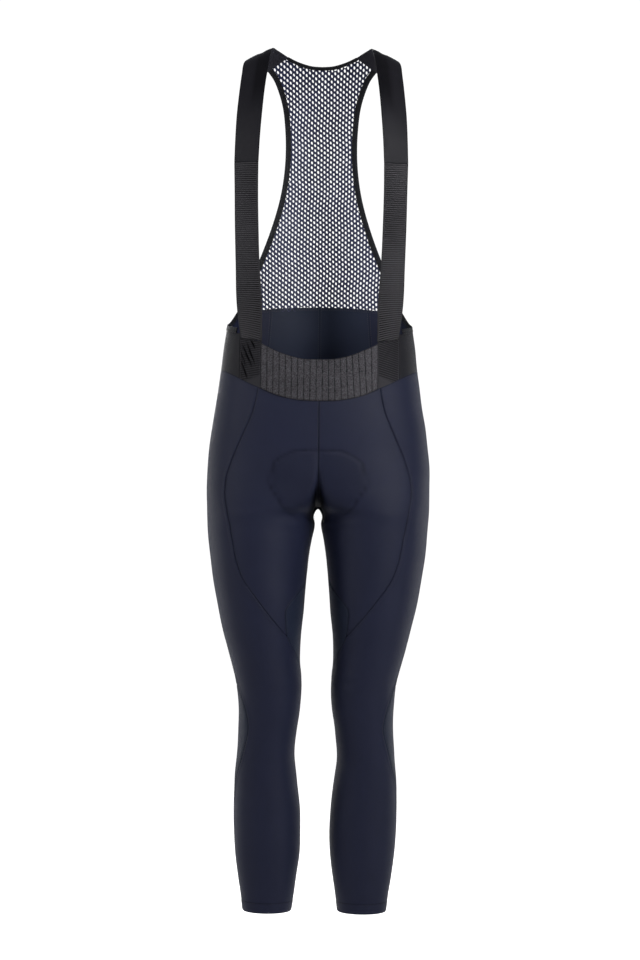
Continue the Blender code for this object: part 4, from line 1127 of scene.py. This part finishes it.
def build_stitches():
    """Stitches along the seams, hems and bindings of both sides."""
    front = seam_line(side_front_seam, 0.528, 0.903, 260)
    shin = seam_line(inner_leg_seam, 0.906, HEM - 0.002, 300)
    thigh = seam_line(inner_leg_seam, 0.722, 0.903, 120)
    back = seam_line(side_back_seam, 0.404, HEM - 0.002, 600)
    centre = seam_line(centre_front, 0.5495, 0.712, 160)
    centre_rear = seam_line(centre_back, 0.396, 0.712, 240)
    angles = np.linspace(-90.5, 5.5, 240)
    waist = np.column_stack([angles, waist_bottom(np.maximum(angles, -90.0))])
    hem = np.column_stack([np.linspace(-180, 180, 240), np.full(240, HEM - HEM_TURN)])
    places = np.linspace(0.0005, 0.121, 90)
    foot = np.column_stack([angle_across(places, 0.40, 1), net_foot(places)])
    for side, word in SIDES:
        chains = [chart_line(inset(line, gap), 0.00022, side) for line, gaps in (
            (front, (-0.0022, 0.0022, 0.0042)), (shin, (-0.0020, 0.0020)),
            (thigh, (-0.0020, 0.0020)), (back, (-0.0022, 0.0022, 0.0042)), (centre, (0.0020,)),
            (centre_rear, (-0.0020,)), (waist, (-0.0020,)), (foot, (0.0022, 0.0042)),
        ) for gap in gaps]
        chains.append(chart_line(hem, 0.00035, side))
        stitches(f"seam_stitches_{word}", chains)
        chains = [chart_line(inset(line, gap), -CLOTH - 0.00010, side) for line, gap in (
            (foot, 0.0022), (foot, 0.0042), (centre_rear[:80], -0.0020), (back[:80], 0.0020),
            (back[:80], -0.0020),
        )]
        chains = [(line, -normal) for line, normal in chains]
        stitches(f"inside_stitches_{word}", chains, material=PALE_THREAD)
        chains = []
        for lift in ((TAPE - NET) / 2 + 0.00002, -(TAPE + NET) / 2 - 0.00002):
            for share in (0.68, 0.80):
                for folded, far in ((armhole_line, armhole_inner), (neck_line, neck_inner)):
                    middle = below_shoulder(folded + (far - folded) * share)
                    line, normal = chart_line(middle, lift, side)
                    chains.append((line, normal * np.sign(lift)))
        stitches(f"binding_stitches_{word}", chains, material=PALE_THREAD, pitch=0.0026,
                 length=0.0018, size=0.00018)


# Stage, light and camera

# Lights: name, place, height aimed at, width and height, power, spread in degrees
LIGHTS = (
    ("key_light", (3.1, -2.3, 0.5), -0.5, (1.0, 1.6), 74.0, 180.0),
    ("fill_light", (-3.5, -0.9, 0.4), -0.6, (0.8, 2.0), 46.0, 180.0),
    ("right_top_light", (1.7, -3.0, 0.8), -0.38, (0.8, 0.6), 3.0, 36.0),
    ("left_top_light", (-2.1, -2.8, 0.8), -0.38, (0.8, 0.6), 0.7, 36.0),
    ("back_light", (-1.0, 3.4, 0.5), -0.7, (1.2, 1.6), 34.0, 180.0),
    ("left_edge_light", (-2.2, 2.2, -0.7), -0.8, (0.5, 1.6), 11.0, 180.0),
    ("right_edge_light", (2.2, 2.4, -0.7), -0.8, (0.5, 1.6), 11.0, 180.0),
)


def add_light(name, place, aim, size, power, spread):
    """A soft rectangular light, aimed at a height on the garment's middle."""
    data = bpy.data.lights.new(name, "AREA")
    data.shape = "RECTANGLE"
    data.size, data.size_y = size
    data.energy = power
    data.spread = math.radians(spread)
    lamp = bpy.data.objects.new(name, data)
    lamp.location = place
    x, y, z = np.subtract((0.0, 0.0, aim), place)
    lamp.rotation_euler = (math.atan2(math.hypot(x, y), -z), 0, math.atan2(x, -y) + math.pi)
    bpy.context.scene.collection.objects.link(lamp)


def two_values(tree, socket, unseen, seen):
    """Give a socket one value for camera rays (seen) and another for all the rest."""
    ray, value = tree.nodes.new("ShaderNodeLightPath"), tree.nodes.new("ShaderNodeMapRange")
    value.inputs["To Min"].default_value = unseen
    value.inputs["To Max"].default_value = seen
    tree.links.new(ray.outputs["Is Camera Ray"], value.inputs["Value"])
    tree.links.new(value.outputs["Result"], socket)


def build_stage():
    """Pale floor, white surroundings and soft lights."""
    mesh = bpy.data.meshes.new("floor")
    turns = np.linspace(0, 2 * math.pi, 96, endpoint=False)
    ring = [(14 * math.cos(turn), 14 * math.sin(turn), FLOOR) for turn in turns]
    mesh.from_pydata(ring, [], [list(range(len(ring)))])
    material = bpy.data.materials.new("pale_floor")
    material.use_nodes = True
    inputs = material.node_tree.nodes["Principled BSDF"].inputs
    for key, value in (("Base Color", (0.93, 0.93, 0.93, 1)), ("Roughness", 0.9),
                       ("Specular IOR Level", 0.1), ("Emission Color", (1, 1, 1, 1))):
        inputs[key].default_value = value
    two_values(material.node_tree, inputs["Emission Strength"], 0.06, 0.90)
    mesh.materials.append(material)
    floor = bpy.data.objects.new("floor", mesh)
    bpy.context.scene.collection.objects.link(floor)

    world = bpy.data.worlds.new("studio")
    bpy.context.scene.world = world
    world.use_nodes = True
    inputs = world.node_tree.nodes["Background"].inputs
    inputs["Color"].default_value = (1, 1, 1, 1)
    two_values(world.node_tree, inputs["Strength"], 0.17, 1.05)
    for light in LIGHTS:
        add_light(*light)
    bpy.context.scene.view_settings.view_transform = "Standard"


def build_camera():
    """Level camera in front, rolled a little as in the photo."""
    data = bpy.data.cameras.new("camera")
    data.sensor_fit = "VERTICAL"
    data.sensor_height = 24.0
    data.lens = data.sensor_height / 2 / (HALF_VIEW / CAMERA_DISTANCE)
    camera = bpy.data.objects.new("camera", data)
    camera.location = (0.0027, -CAMERA_DISTANCE, -0.668)
    camera.rotation_euler = (math.radians(90), 0, 0)
    camera.rotation_euler.rotate_axis("Z", math.radians(CAMERA_ROLL))
    bpy.context.scene.collection.objects.link(camera)
    bpy.context.scene.camera = camera


build_camera()
build_stage()
build_body()
build_waist_front()
build_waist_sides()
build_straps()
build_bindings()
build_net()
build_stitches()
